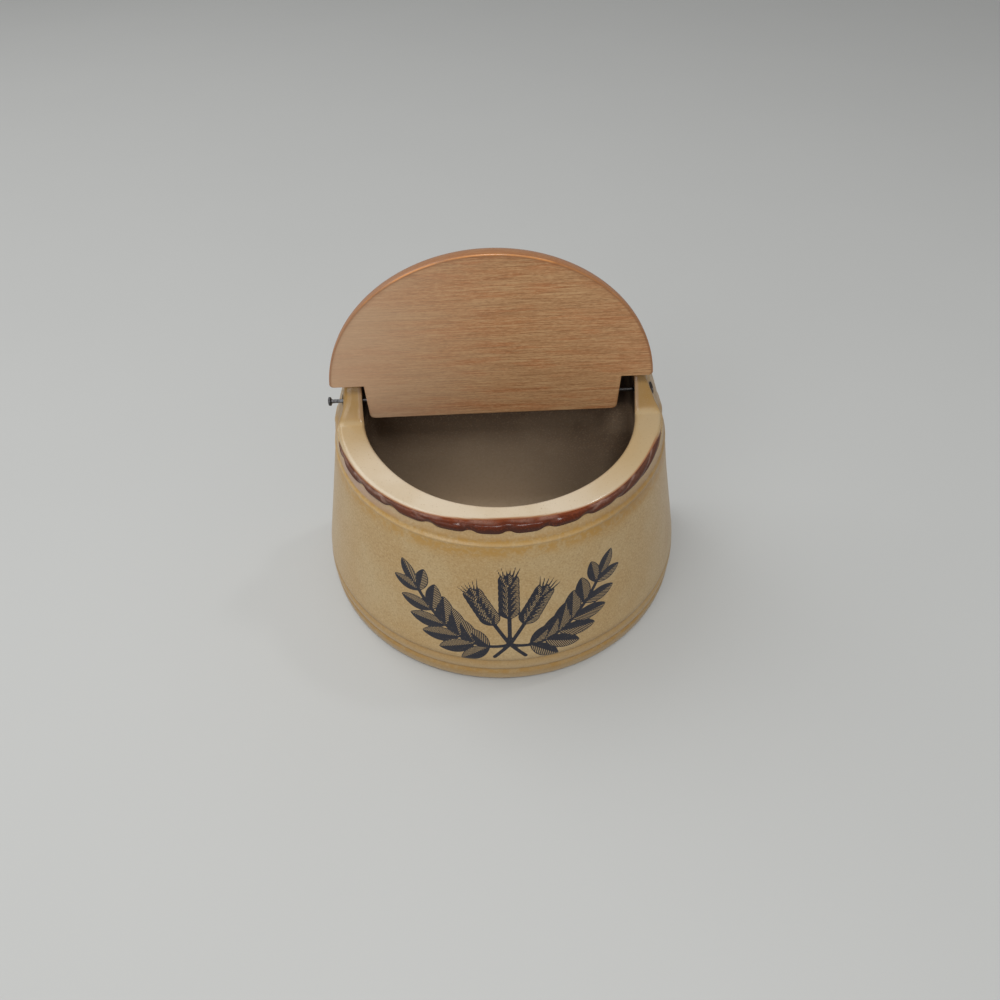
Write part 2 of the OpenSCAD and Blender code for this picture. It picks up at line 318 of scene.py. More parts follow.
def spread(knots, steps):
    """Even steps between each pair of knots, without the last knot."""
    pairs = zip(knots[:-1], knots[1:], steps)
    return np.concatenate([np.linspace(start, end, count, endpoint=False) for start, end, count in pairs])


def ease(value):
    """A smooth step from 0 at or below 0 to 1 at or above 1."""
    held = np.clip(value, 0, 1)
    return held * held * (3 - 2 * held)


def bell(offset, width):
    """A smooth bump of height 1 that fades over the width."""
    return np.exp(-np.square(offset / width))


def soft_min(first, second, blend):
    """The lesser of two values, rounded where they come within the blend of each other."""
    near = np.maximum(blend - np.abs(first - second), 0) / blend
    return np.minimum(first, second) - near * near * blend / 4


def soft_max(first, second, blend):
    """The greater of two values, rounded where they come within the blend of each other."""
    return -soft_min(-first, -second, blend)


def ring_faces(rows, columns, first):
    """Quads of a grid whose columns run round and meet, with vertices numbered row by row from first."""
    row, column = np.meshgrid(np.arange(rows - 1), np.arange(columns), indexing="ij")
    after = (column + 1) % columns
    here = first + row * columns
    above = here + columns
    return np.stack([here + column, here + after, above + after, above + column], axis=-1).reshape(-1, 4)


def closed_grid(points, low_pole, high_pole):
    """Vertices and faces of a grid of rings that closes in a point at each end."""
    rows, columns = points.shape[:2]
    vertices = np.concatenate([[low_pole], points.reshape(-1, 3), [high_pole]])
    column = np.arange(columns)
    after = (column + 1) % columns
    last = 1 + (rows - 1) * columns
    end = np.full(columns, 1 + rows * columns)
    low_fan = np.stack([np.zeros(columns, int), 1 + after, 1 + column], axis=-1)
    high_fan = np.stack([last + column, last + after, end], axis=-1)
    quads = ring_faces(rows, columns, 1)
    return vertices, low_fan.tolist() + quads.tolist() + high_fan.tolist()


def new_piece(name, vertices, faces):
    """A smooth mesh object at the origin."""
    mesh = bpy.data.meshes.new(name)
    mesh.from_pydata(vertices, [], faces)
    mesh.shade_smooth()
    piece = bpy.data.objects.new(name, mesh)
    bpy.context.scene.collection.objects.link(piece)
    return piece


def paint(piece, name, values, low=0.0, high=0.0):
    """Stores a value for each point of a closed grid as an attribute, with values for its two poles."""
    whole = np.concatenate([[low], np.ravel(values), [high]]).astype(np.float32)
    piece.data.attributes.new(name, "FLOAT", "POINT").data.foreach_set("value", whole)


def repaint(piece, name, where, value):
    """Sets an attribute to one value at some points, because a cut leaves stray values on new points."""
    data = piece.data.attributes[name].data
    values = np.empty(len(data), np.float32)
    data.foreach_get("value", values)
    values[where] = value
    data.foreach_set("value", values)


def dress(piece, body, slot, material, *nodes):
    """Gives a piece its material, ties it to its body and hides the nodes that it stands for; the slot is not
    used.
    """
    piece.data.materials.clear()
    piece.data.materials.append(material)
    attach(piece, body)
    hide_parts(*nodes)


# Crock

FRONT_KNOTS = (-90, -80, -38, 38, 80, 90)
FRONT_STEPS = (36, 26, 184, 26, 36)
SIDE_STEPS = 16
CORNER_STEPS = 8
BACK_STEPS = 44
ARC_STEPS = 9
UNDER_STEPS = 6
WALL_STEPS = (24, 88, 8, 26)
RIM_STEPS = 10
INSIDE_STEPS = 26
BEND_STEPS = 10
LEAN_PASSES = 3
LEAN_BLEND = 2.5 * MM
RAMP_BLEND = 5 * MM
CHEEK_BLEND = 3 * MM
CHEEK_FULL = 6 * MM
FLARE_LOW = 0.7
FLARE_END = 0.5
FLARE_EARLY = 0.3
PLATE_BLEND = 2.4 * MM
SWELL_REACH = math.radians(20)
DENT_REACH = math.radians(24)
DENT_PLACE = math.radians(-55)
MIDDLE_Y = -22 * MM
PRINT_LOW = 14 * MM
PRINT_HIGH = 59 * MM
LINE_MARGIN = 2 * MM
HIGH_GROOVE_SHARE = 0.8
CHANNEL_SHIFT = 2.5
CHANNEL_SPREAD = 1.5
CHANNEL_SHARE = 0.7
CROCK_SHARP = math.radians(48)
ROW_DEFAULTS = {
    "rise": 0, "lean": 0, "swell": 0, "forward": 0, "flare": 0, "round_in": 0, "round_down": 0, "fill": 1,
}


def plan_path():
    """Stations round the crock's plan, from the left cheek round the front, right side, back and left side.

    A station lies at x = R * across + r * turn_x and y = R * along + back * behind + r * turn_y, where R is
    the radius of the round front, back the place of the flat back and r the radius of the back corners.
    """
    front = np.radians(spread(FRONT_KNOTS, FRONT_STEPS))
    side = np.linspace(0, 1, SIDE_STEPS, endpoint=False)
    corner = np.linspace(0, math.pi / 2, CORNER_STEPS, endpoint=False)
    back = np.linspace(1, -1, BACK_STEPS, endpoint=False)
    home = 1 - side
    none, one = np.zeros_like, np.ones_like
    stretches = [
        (np.sin(front), -np.cos(front), none(front), none(front), none(front)),
        (one(side), none(side), side, none(side), -side),
        (one(corner), none(corner), one(corner), np.cos(corner) - 1, np.sin(corner) - 1),
        (back, none(back), one(back), -back, none(back)),
        (-one(corner), none(corner), one(corner), 1 - np.sin(corner), np.cos(corner) - 1),
        (-one(home), none(home), home, none(home), -home),
    ]
    names = ("across", "along", "behind", "turn_x", "turn_y")
    return {name: np.concatenate(parts) for name, parts in zip(names, zip(*stretches))}


def outer_radius(s, z):
    """Radius of the outside: foot, leaning wall and neck, less two grooves, plus the turned line.

    A shallow channel runs above the line; its place and width are multiples of the line's half-width.
    """
    line_z = s.rim_h - s.line_drop
    wall_low_z = s.ridge_h + 2 * s.groove_step
    knots_z = [0, s.ridge_h, wall_low_z, line_z, s.rim_h]
    plain = np.interp(z, knots_z, [s.foot_r, s.foot_r, s.wall_low_r, s.line_r, s.rim_r])
    low_groove = bell(z - s.ridge_h + s.groove_step, s.groove_w)
    high_groove = bell(z - s.ridge_h - s.groove_step, s.groove_w)
    grooves = low_groove + HIGH_GROOVE_SHARE * high_groove
    line = bell(z - line_z, s.line_w)
    channel = bell(z - line_z - CHANNEL_SHIFT * s.line_w, CHANNEL_SPREAD * s.line_w)
    return plain - s.groove_depth * grooves + s.line_out * (line - CHANNEL_SHARE * channel)


def stretch(count, **values):
    """Rows of one stretch of the section; a plain number holds for all rows, the rest is as by default."""
    whole = {**ROW_DEFAULTS, **values}
    return {name: np.broadcast_to(np.asarray(value, float), count) for name, value in whole.items()}


def crock_section(s):
    """Rows of the crock's section, from the underside's middle up the outside, over the rim and down inside.

    A row has a radius, a height, the place of the back and the round of its corners. rise is its share of
    the cheeks' and plate's height, lean the slope by which it draws in as it rises, swell its share of the
    mouth's uneven shape, forward how far its middle lies in front, flare its share of the widening to the
    back, round_in and round_down its shares of the rounding of the cheeks, inwards and downwards, and fill
    the share by which it is drawn out from the middle. edge_radius, edge_back and edge_corner say where the
    height of the top is taken for that row.
    """
    lean_out = math.tan(s.cheek_lean)
    lean_in = math.tan(s.cheek_in_lean)
    turn = np.linspace(0, math.pi / 2, ARC_STEPS, endpoint=False)
    bend = np.linspace(0, math.pi / 2, BEND_STEPS)
    cross = np.linspace(0, 1, RIM_STEPS, endpoint=False)
    back_in = s.back_y - s.back_t
    line_z = s.rim_h - s.line_drop
    low_r = s.wall_low_r - s.wall_t
    bend_z = s.floor_t + s.floor_round
    rim_low = s.rim_h - s.rim_round
    mouth_low = s.rim_h - s.mouth_round
    wall_z = spread((s.foot_round, PRINT_LOW, PRINT_HIGH, line_z - LINE_MARGIN, rim_low), WALL_STEPS)
    climb = np.clip((wall_z - line_z) / (rim_low - line_z), 0, 1)
    inner_z = np.linspace(mouth_low, bend_z, INSIDE_STEPS, endpoint=False)
    fall = np.clip((inner_z - line_z) / (mouth_low - line_z), 0, 1)
    top_radius = s.rim_r - s.rim_round + cross * (s.mouth_r + s.mouth_round - s.rim_r + s.rim_round)
    top_back = s.back_y - s.plate_round + cross * (back_in + 2 * s.plate_round - s.back_y)
    top_corner = s.corner_r + cross * (s.inner_corner_r - s.corner_r)
    out = dict(corner=s.corner_r, edge_radius=s.rim_r, edge_back=s.back_y, edge_corner=s.corner_r)
    into = dict(
        corner=s.inner_corner_r, edge_radius=s.mouth_r, edge_back=back_in, edge_corner=s.inner_corner_r
    )
    parts = {
        "under": stretch(
            UNDER_STEPS - 1, radius=s.foot_r - s.foot_round, height=0, back=s.back_y - s.foot_round,
            fill=np.linspace(0, 1, UNDER_STEPS, endpoint=False)[1:], **out
        ),
        "foot": stretch(
            ARC_STEPS, radius=s.foot_r - s.foot_round * (1 - np.sin(turn)),
            height=s.foot_round * (1 - np.cos(turn)), back=s.back_y - s.foot_round * (1 - np.sin(turn)), **out
        ),
        "wall": stretch(
            len(wall_z), radius=outer_radius(s, wall_z), height=wall_z, back=s.back_y, rise=climb,
            lean=lean_out, forward=np.interp(wall_z, [0, line_z, rim_low], [0, s.forward, s.rim_forward]),
            flare=ease((wall_z / line_z - FLARE_LOW) / (1 - FLARE_LOW)), round_down=climb, **out
        ),
        "rim_out": stretch(
            ARC_STEPS, radius=s.rim_r - s.rim_round * (1 - np.cos(turn)),
            height=rim_low + s.rim_round * np.sin(turn), back=s.back_y - s.plate_round * (1 - np.cos(turn)),
            rise=1, lean=lean_out, forward=s.rim_forward, flare=1, round_in=1 - np.cos(turn),
            round_down=1 - np.sin(turn), **out
        ),
        "top": stretch(
            RIM_STEPS, radius=top_radius, height=s.rim_h, back=top_back, corner=top_corner, rise=1,
            lean=lean_out + cross * (lean_in - lean_out), swell=cross,
            forward=s.rim_forward + cross * (s.forward - s.rim_forward), flare=1 - cross, round_in=1 - cross,
            edge_radius=top_radius, edge_back=top_back, edge_corner=top_corner
        ),
        "rim_in": stretch(
            ARC_STEPS, radius=s.mouth_r + s.mouth_round * (1 - np.sin(turn)),
            height=mouth_low + s.mouth_round * np.cos(turn),
            back=back_in + s.plate_round * (1 - np.sin(turn)),
            rise=1, lean=lean_in, swell=1, forward=s.forward, **into
        ),
        "inner": stretch(
            INSIDE_STEPS, radius=np.interp(inner_z, [bend_z, mouth_low], [low_r, s.mouth_r]), height=inner_z,
            back=back_in, rise=fall, lean=lean_in, swell=ease(fall),
            forward=s.forward * (inner_z - bend_z) / (mouth_low - bend_z), **into
        ),
        "floor_bend": stretch(
            BEND_STEPS, radius=low_r - s.floor_round * (1 - np.cos(bend)),
            height=bend_z - s.floor_round * np.sin(bend),
            back=back_in - s.back_round * (1 - np.cos(bend)), **into
        ),
        "floor": stretch(
            UNDER_STEPS - 1, radius=low_r - s.floor_round, height=s.floor_t, back=back_in - s.back_round,
            fill=np.linspace(1, 0, UNDER_STEPS, endpoint=False)[1:], **into
        ),
    }
    rows = {name: np.concatenate([part[name] for part in parts.values()]) for name in parts["under"]}
    rows["part"] = np.concatenate([np.full(len(part["radius"]), name) for name, part in parts.items()])
    return rows


def crown_height(s, x, y):
    """Height of the top above the plain rim.

    It is nothing at the front. In front of the hinge a ramp climbs to the level cheeks. At the back plate it
    follows the arch, a circle through the plate's top.
    """
    rise = s.plate_top - s.cheek_top
    arch_r = (s.arch_half_w**2 + rise**2) / (2 * rise)
    arch = s.plate_top - s.rim_h - arch_r + np.sqrt(np.maximum(arch_r**2 - x**2, 0))
    toe = HINGE[1] - s.cheek_front
    ramp = (y - toe) / math.tan(s.ramp_lean)
    cheek = soft_min(soft_max(ramp, np.zeros_like(ramp), RAMP_BLEND), s.cheek_top - s.rim_h, CHEEK_BLEND)
    behind = ease((y - (s.back_y - s.back_t - PLATE_BLEND)) / PLATE_BLEND)
    return cheek + (arch - cheek) * behind


def crock_points(s, plan, rows):
    """Places each station of each row, and gives how far it rises with the cheeks and the plate.

    The outline in plan comes first, then the rise, then the lean: a point draws in by its row's slope times
    its rise. On the left cheek's outside the rise that counts ends at the lean stop, so the face goes
    straight up from there. The upper sides widen towards the back, on the right already beside the front.
    """
    row = {name: values[:, None] for name, values in rows.items()}
    across, behind = plan["across"], plan["behind"]
    left = across < 0
    beside = 1 - ease(behind)
    early = behind + (1 - behind) * (np.abs(across) - 1) + FLARE_EARLY
    right_flare = s.right_flare * ease(early / (FLARE_END + FLARE_EARLY))
    widening = np.where(left, s.left_flare * ease(behind / FLARE_END), right_flare)
    held = row["flare"] * np.where(left, beside, 0)

    def outline(radius, back, corner):
        """The plan for a radius, a place of the back and a round of the corners."""
        x = (radius + row["flare"] * widening) * across + corner * plan["turn_x"]
        y = radius * plan["along"] + back * behind + corner * plan["turn_y"]
        return x, y - row["forward"] * (1 - behind)

    def drawn_in(rise):
        """How far the lean draws a point in at its rise."""
        return row["lean"] * (rise + held * (soft_min(rise, s.lean_stop, LEAN_BLEND) - rise))

    around = np.arctan2(across, -plan["along"])
    swell = s.mouth_swell * bell(around, SWELL_REACH) - s.mouth_dent * bell(around - DENT_PLACE, DENT_REACH)
    uneven = row["swell"] * np.where(behind == 0, swell, 0)
    crown = 0
    for _ in range(LEAN_PASSES):
        edge = outline(row["edge_radius"] - drawn_in(crown), row["edge_back"], row["edge_corner"])
        crown = crown_height(s, *edge)
    rounded = np.where(left, s.left_round, s.right_round) * ease(crown / CHEEK_FULL) * beside
    crown = crown * row["rise"]
    inwards = drawn_in(crown) + rounded * row["round_in"]
    x, y = outline(row["radius"] + uneven - inwards, row["back"], row["corner"])
    x = x * row["fill"]
    y = MIDDLE_Y + (y - MIDDLE_Y) * row["fill"]
    z = np.broadcast_to(row["height"], x.shape) + crown - rounded * row["round_down"]
    return np.stack([x, y, z], axis=-1), crown


def lathe_x(along, radius, middle, steps):
    """Rings of the given radii about an axis along X through the middle, one at each place along it."""
    around = np.linspace(0, 2 * math.pi, steps, endpoint=False)
    x = np.broadcast_to(along[:, None], (len(along), steps))
    y = middle[1] + radius[:, None] * np.cos(around)
    z = middle[2] + radius[:, None] * np.sin(around)
    return np.stack([x, y, z], axis=-1)


HOLE_SIDES = 40
HOLE_RINGS = 80
HOLE_LIP = 0.3 * MM
HOLE_LIP_REACH = 0.7 * MM
HOLE_PAST = 4 * MM


def hole_cutter(name, start, end, edges, radius, middle, turned):
    """A round cutter along X, or along Y where turned, that widens a little at each face that it opens."""
    along = np.linspace(start, end, HOLE_RINGS)
    lip = sum(bell(along - edge, HOLE_LIP_REACH) for edge in edges)
    rings = lathe_x(along, radius + HOLE_LIP * lip, middle, HOLE_SIDES)
    poles = np.array([[start, middle[1], middle[2]], [end, middle[1], middle[2]]])
    if turned:
        rings = np.stack([-rings[..., 1], rings[..., 0], rings[..., 2]], axis=-1)
        poles = np.stack([-poles[:, 1], poles[:, 0], poles[:, 2]], axis=-1)
    return new_piece(name, *closed_grid(rings, *poles))


def cut(piece, cutter):
    """Takes the cutter out of the piece and removes the cutter."""
    modifier = piece.modifiers.new("hole", "BOOLEAN")
    modifier.operation = "DIFFERENCE"
    modifier.solver = "EXACT"
    modifier.object = cutter
    drawn = piece.evaluated_get(bpy.context.evaluated_depsgraph_get())
    mesh = bpy.data.meshes.new_from_object(drawn)
    piece.modifiers.clear()
    old = piece.data
    piece.data = mesh
    bpy.data.meshes.remove(old)
    mesh.name = piece.name
    bpy.data.objects.remove(cutter)


def cut_holes(piece, s):
    """Cuts the two cheek holes and the hanging hole, mends the glaze values that the cuts leave and paints
    shade into the cheek bores.
    """
    middle = (0, HINGE[1], HINGE[2] + s.nail_hole_rise)
    rise = middle[2] - s.rim_h
    cheek_inside = s.mouth_r - rise * math.tan(s.cheek_in_lean)
    cheek_face = s.rim_r - rise * math.tan(s.cheek_lean)
    for side in (-1, 1):
        ends = sorted((side * (s.mouth_r - HOLE_PAST), side * (s.rim_r + HOLE_PAST)))
        edges = (side * cheek_inside, side * cheek_face)
        cut(piece, hole_cutter("cheek_hole", *ends, edges, s.nail_hole_d / 2, middle, False))
    back_in = s.back_y - s.back_t
    ends = (back_in - HOLE_PAST, s.back_y + HOLE_PAST)
    hang = (0, 0, s.plate_top - s.hang_drop)
    cut(piece, hole_cutter("hanging_hole", *ends, (back_in, s.back_y), s.hang_d / 2, hang, True))
    place = np.empty((len(piece.data.vertices), 3), np.float32)
    piece.data.vertices.foreach_get("co", place.ravel())
    near_axle = np.hypot(place[:, 1] - middle[1], place[:, 2] - middle[2]) < s.nail_hole_d / 2 + 2 * HOLE_LIP
    shaded_bore = near_axle & (np.abs(place[:, 0]) < cheek_inside + HOLE_LIP_REACH)
    repaint(piece, "bare", place[:, 2] > s.foot_round, 0)
    # Painted shade: the bores take the dark inside and corner colours
    repaint(piece, "inside", shaded_bore, 1)
    repaint(piece, "corner", shaded_bore, 1)


# Printed spray

LEAF_SPAN = (0.2, 0.93)
LEAF_TURN = math.radians(42)
LEAF_LEAST = 0.7
LEAF_BELLY = 0.7
TIP_AT = 0.97
TIP_LENGTH = 0.8
TIP_WIDTH = 0.75
TAIL_OUT = 5 * MM
TAIL_DOWN = 6 * MM
STEM_POINTS = 140
STEM_DIP = 0.5
SIDE_EAR = 0.86
EAR_STEM = 0.9
GRAIN_SPAN = (0.42, 0.86)
GRAIN_TURN = math.radians(27)
CREST_AT = 0.88
AWN_COUNT = 6
AWN_FAN = math.radians(24)
OFF_PRINT = -10 * MM


def leaves_along(start, heading, turn, sizes):
    """Leaves as rows of start across, start up, angle, length and width, in pairs to both sides of a stem."""
    ways = [np.broadcast_to(way, len(start)) for way in (heading - turn, heading + turn)]
    return np.concatenate([np.column_stack([start, way, sizes]) for way in ways])


def stem_curve(p, side, share):
    """A leafy stem: it leaves the knot sideways, dips and climbs to its tip; gives places and headings.

    Across, the place goes evenly to the half-width. Upwards it follows a parabola that dips first.
    """
    climb = p.tip_h - p.middle_h
    across = side * p.half_w * share
    up = p.middle_h + climb * ((1 + STEM_DIP) * share**2 - STEM_DIP * share)
    slope = climb * (2 * (1 + STEM_DIP) * share - STEM_DIP)
    return np.stack([across, up], axis=-1), np.arctan2(slope, side * p.half_w)


def spray(p):
    """Leaves and stem points of the printed spray: three ears of wheat over two leafy stems."""
    leaves = []
    stems = []
    whole = np.linspace(0, 1, STEM_POINTS)
    places = np.linspace(*LEAF_SPAN, p.leaf_pairs)
    fade = LEAF_LEAST + (1 - LEAF_LEAST) * np.sin(math.pi * places)
    leaf_sizes = np.stack([p.leaf_l * fade, p.leaf_w * fade], axis=-1)
    for side in (-1, 1):
        start, heading = stem_curve(p, side, places)
        leaves.append(leaves_along(start, heading, LEAF_TURN, leaf_sizes))
        tip, heading = stem_curve(p, side, TIP_AT)
        leaves.append(np.array([[*tip, heading, TIP_LENGTH * p.leaf_l, TIP_WIDTH * p.leaf_w]]))
        stems.append(stem_curve(p, side, whole)[0])
        stems.append(np.stack([side * TAIL_OUT * whole, p.middle_h - TAIL_DOWN * whole], axis=-1))
    foot = np.array([0, p.middle_h])
    grain_places = np.linspace(*GRAIN_SPAN, p.grain_pairs)[:, None]
    grain_sizes = np.tile([p.grain_l, p.grain_w], (p.grain_pairs, 1))
    awn_sizes = np.tile([p.awn_l, p.awn_w], (AWN_COUNT, 1))
    for lean, height in ((-p.ear_fan, SIDE_EAR), (0, 1), (p.ear_fan, SIDE_EAR)):
        heading = math.pi / 2 - lean
        ear = height * (p.ear_h - p.middle_h) * np.array([math.cos(heading), math.sin(heading)])
        leaves.append(leaves_along(foot + grain_places * ear, heading, GRAIN_TURN, grain_sizes))
        crest = foot + CREST_AT * ear
        leaves.append(np.array([[*crest, heading, p.grain_l, p.grain_w]]))
        fan = heading + np.linspace(-1, 1, AWN_COUNT) * AWN_FAN
        leaves.append(np.column_stack([np.tile(crest, (AWN_COUNT, 1)), fan, awn_sizes]))
        stems.append(foot + EAR_STEM * whole[:, None] * ear)
    return np.concatenate(leaves), np.concatenate(stems)


def ink_fields(p, across, up):
    """How deep each place lies in the print, and its place along and across the leaf that holds it.

    A leaf's half-width is half its width times a power of the sine of its share of the length. The depth is
    that half-width less the distance from the midrib. A stem's depth is its half-width less the distance.
    """
    leaves, stems = spray(p)
    place = np.stack([across, up], axis=-1)[:, None, :]
    offset = place - leaves[None, :, :2]
    heading, long, wide = leaves[:, 2], leaves[:, 3], leaves[:, 4]
    along = offset[..., 0] * np.cos(heading) + offset[..., 1] * np.sin(heading)
    aside = offset[..., 1] * np.cos(heading) - offset[..., 0] * np.sin(heading)
    half = wide / 2 * np.sin(math.pi * np.clip(along / long, 0, 1)) ** LEAF_BELLY
    past = np.maximum(-along, along - long)
    depth = np.where(past > 0, -np.hypot(past, aside), half - np.abs(aside))
    best = np.argmax(depth, axis=1)
    pick = np.arange(len(best))
    depth, along, aside = depth[pick, best], along[pick, best], aside[pick, best]
    distance = np.sqrt(np.square(place - stems[None]).sum(axis=-1).min(axis=1))
    stem = p.stem_w / 2 - distance
    on_stem = stem > depth
    return np.where(on_stem, stem, depth), along, np.where(on_stem, p.leaf_w, aside)


def print_spray(piece, s, p, rows, points):
    """Stores the print's fields on the wall's front, unrolled at the wall's mean radius."""
    around = np.arctan2(points[..., 0], -points[..., 1])
    mean_r = (s.wall_low_r + s.line_r) / 2
    fine = math.radians(FRONT_KNOTS[3])
    printed = (rows["part"] == "wall")[:, None] & (np.abs(around) < fine)
    fields = ink_fields(p, around[printed] * mean_r, points[..., 2][printed])
    for name, values in zip(("ink_depth", "leaf_along", "leaf_aside"), fields):
        whole = np.full(around.shape, OFF_PRINT)
        whole[printed] = values
        paint(piece, name, whole, OFF_PRINT, OFF_PRINT)


# Materials

NOISE_DETAIL = 3
NOISE_ROUGH = 0.55
NOISE_MEAN = 0.5
MIX_FIRST = 6
MIX_SECOND = 7
MIX_COLOUR = 2


class Graph:
    """The nodes of a new material, with its shader and its Object coordinates."""

    def __init__(self, name):
        self.material = bpy.data.materials.new(name)
        self.material.use_nodes = True
        self.tree = self.material.node_tree
        self.tree.nodes.clear()
        self.shader = self.add("ShaderNodeBsdfPrincipled")
        self.add("ShaderNodeOutputMaterial", {"Surface": self.shader.outputs["BSDF"]})
        self.place = self.add("ShaderNodeTexCoord").outputs["Object"]

    def fill(self, node, inputs):
        """Links a node's sockets to the outputs of others, or sets them to values."""
        for name, value in inputs.items():
            if isinstance(value, bpy.types.NodeSocket):
                self.tree.links.new(value, node.inputs[name])
            else:
                node.inputs[name].default_value = value

    def add(self, kind, inputs=None, **settings):
        """A node with its settings and its sockets filled."""
        node = self.tree.nodes.new(kind)
        for name, value in settings.items():
            setattr(node, name, value)
        self.fill(node, inputs or {})
        return node

    def calc(self, operation, first, second=0.0, third=0.0, clamp=False):
        """One sum of a Math node."""
        inputs = {0: first, 1: second, 2: third}
        return self.add("ShaderNodeMath", inputs, operation=operation, use_clamp=clamp).outputs[0]

    def times(self, first, *others):
        """The product of some values."""
        for other in others:
            first = self.calc("MULTIPLY", first, other)
        return first

    def plus(self, first, second, share):
        """The first value plus a share of the second one."""
        return self.calc("MULTIPLY_ADD", second, share, first)

    def span(self, value, low, high, least=0.0, most=1.0):
        """Maps a value smoothly, to the least at low and to the most at high."""
        inputs = {"Value": value, "From Min": low, "From Max": high, "To Min": least, "To Max": most}
        return self.add("ShaderNodeMapRange", inputs, interpolation_type="SMOOTHSTEP").outputs["Result"]

    def mix(self, factor, first, second):
        """Mixes two colours by a factor; a colour from the settings is opaque."""
        first, second = (c if isinstance(c, bpy.types.NodeSocket) else (*c, 1) for c in (first, second))
        inputs = {0: factor, MIX_FIRST: first, MIX_SECOND: second}
        return self.add("ShaderNodeMix", inputs, data_type="RGBA").outputs[MIX_COLOUR]

    def layer(self, base, colour, mask, low, high, most=1.0):
        """Lays a colour over a base, from nothing where the mask is low to the most where it is high."""
        return self.mix(self.span(mask, low, high, most=most), base, colour)

    def noise(self, scale=1, detail=NOISE_DETAIL, rough=NOISE_ROUGH, vector=None):
        """Noise about its mean, at a scale per metre."""
        vector = self.place if vector is None else vector
        inputs = {"Vector": vector, "Scale": scale, "Detail": detail, "Roughness": rough}
        return self.add("ShaderNodeTexNoise", inputs).outputs["Fac"]

    def attribute(self, name, output="Fac"):
        """A value that the mesh carries."""
        return self.add("ShaderNodeAttribute", attribute_name=name).outputs[output]

    def stretched(self, vector, scale):
        """Coordinates stretched by a factor on each axis."""
        return self.add("ShaderNodeMapping", {"Vector": vector, "Scale": scale}).outputs["Vector"]

    def across(self, vector):
        """The X of coordinates."""
        return self.add("ShaderNodeSeparateXYZ", {"Vector": vector}).outputs["X"]

    def bump(self, height, distance, strength, under=None):
        """A bump of the given height in metres, over another one where it is given."""
        inputs = {"Height": height, "Distance": distance, "Strength": strength}
        if under is not None:
            inputs["Normal"] = under
        return self.add("ShaderNodeBump", inputs).outputs["Normal"]

    def finish(self, **sockets):
        """Fills the shader's sockets, with spaces written as underscores, and gives the material."""
        self.fill(self.shader, {name.replace("_", " "): value for name, value in sockets.items()})
        return self.material


HATCH_SLANT = 1.1
HATCH_PITCH = 0.85 * MM
HATCH_SOFT = 0.25
BORE_EDGE = 0.35 * MM
BORE_SOFT = 0.25 * MM
MOTTLE_SHARE = 0.6
DOT_SHARE = 0.4
GLAZE_ROUGH = 0.27
SPECK_ROUGH = 0.16
INSIDE_ROUGH = 0.16
GLOSS_ROUGH = -0.22
BARE_ROUGH = 0.4
GLOSS_SMOOTH = 0.85


def print_mask(g):
    """Ink of the engraved print: an outline, a dark half and a half shaded by slanting lines on each leaf."""
    depth = g.attribute("ink_depth")
    aside = g.attribute("leaf_aside")
    inside = g.span(depth, low=0.02 * MM, high=0.12 * MM)
    outline = g.span(depth, low=0.3 * MM, high=0.5 * MM, least=1, most=0)
    slant = g.plus(g.attribute("leaf_along"), g.calc("ABSOLUTE", aside), -HATCH_SLANT)
    wave = g.calc("SINE", g.times(slant, 2 * math.pi / HATCH_PITCH))
    level = g.span(aside, low=-0.12 * MM, high=0.12 * MM, least=-0.5, most=-1.3)
    lines = g.span(g.calc("SUBTRACT", wave, level), low=-HATCH_SOFT, high=HATCH_SOFT)
    grain = g.span(g.noise(scale=2200, detail=2), low=0.28, high=0.42, least=0.86)
    return g.times(inside, g.calc("MAXIMUM", outline, lines), grain)


def bore_shade_mask(g, s):
    """Painted shade in the bores of the cheeks and a narrow edge round them, by the distance from the holes'
    axis.
    """
    axis = (0, HINGE[1], HINGE[2] + s.nail_hole_rise)
    flat = g.stretched(g.place, (0, 1, 1))
    away = g.add("ShaderNodeVectorMath", {0: flat, 1: axis}, operation="DISTANCE").outputs["Value"]
    edge = s.nail_hole_d / 2 + BORE_EDGE
    return g.span(away, low=edge, high=edge + BORE_SOFT, least=1, most=0)


def outside_glaze(g, s, cloud, speck, grainy):
    """Honey glaze with straw clouds and flecks, ochre pools and thin ridges."""
    base = g.layer(s.honey, s.straw, cloud, low=0.35, high=0.65)
    base = g.layer(base, s.fleck_and_shade, speck, low=0.5, high=0.72, most=0.4)
    base = g.layer(base, s.thin, speck, low=0.5, high=0.3, most=0.36)
    pool = g.times(g.attribute("pool"), g.span(grainy, low=0.38, high=0.58, least=0.25))
    base = g.mix(pool, base, s.ochre)
    return g.mix(g.attribute("thin"), base, s.thin)


def inside_glaze(g, s, cloud, speck, dot):
    """Dull glaze with painted shade near the mouth and painted light that makes it paler towards the floor,
    with clouds and flecks.
    """
    base = g.mix(g.attribute("deep"), s.inside, s.inside_pale_and_light)
    base = g.layer(base, s.inside_pale_and_light, cloud, low=0.4, high=0.65, most=0.14)
    base = g.layer(base, s.inside_pale_and_light, speck, low=0.52, high=0.68, most=0.2)
    return g.layer(base, s.fleck_and_shade, dot, low=0.45, high=0.7, most=0.1)


def rim_glaze(g, s, cloud, speck):
    """Cream glaze that turns tan at the sides, with straw clouds, ochre pools and a few flecks."""
    base = g.mix(g.attribute("tan"), s.cream, s.tan)
    base = g.layer(base, s.straw, cloud, low=0.4, high=0.7, most=0.3)
    pool = g.times(g.attribute("pool"), g.span(cloud, low=0.35, high=0.62, least=0.5, most=1.1))
    base = g.mix(pool, base, s.ochre)
    return g.layer(base, s.fleck_and_shade, speck, low=0.62, high=0.74, most=0.4)


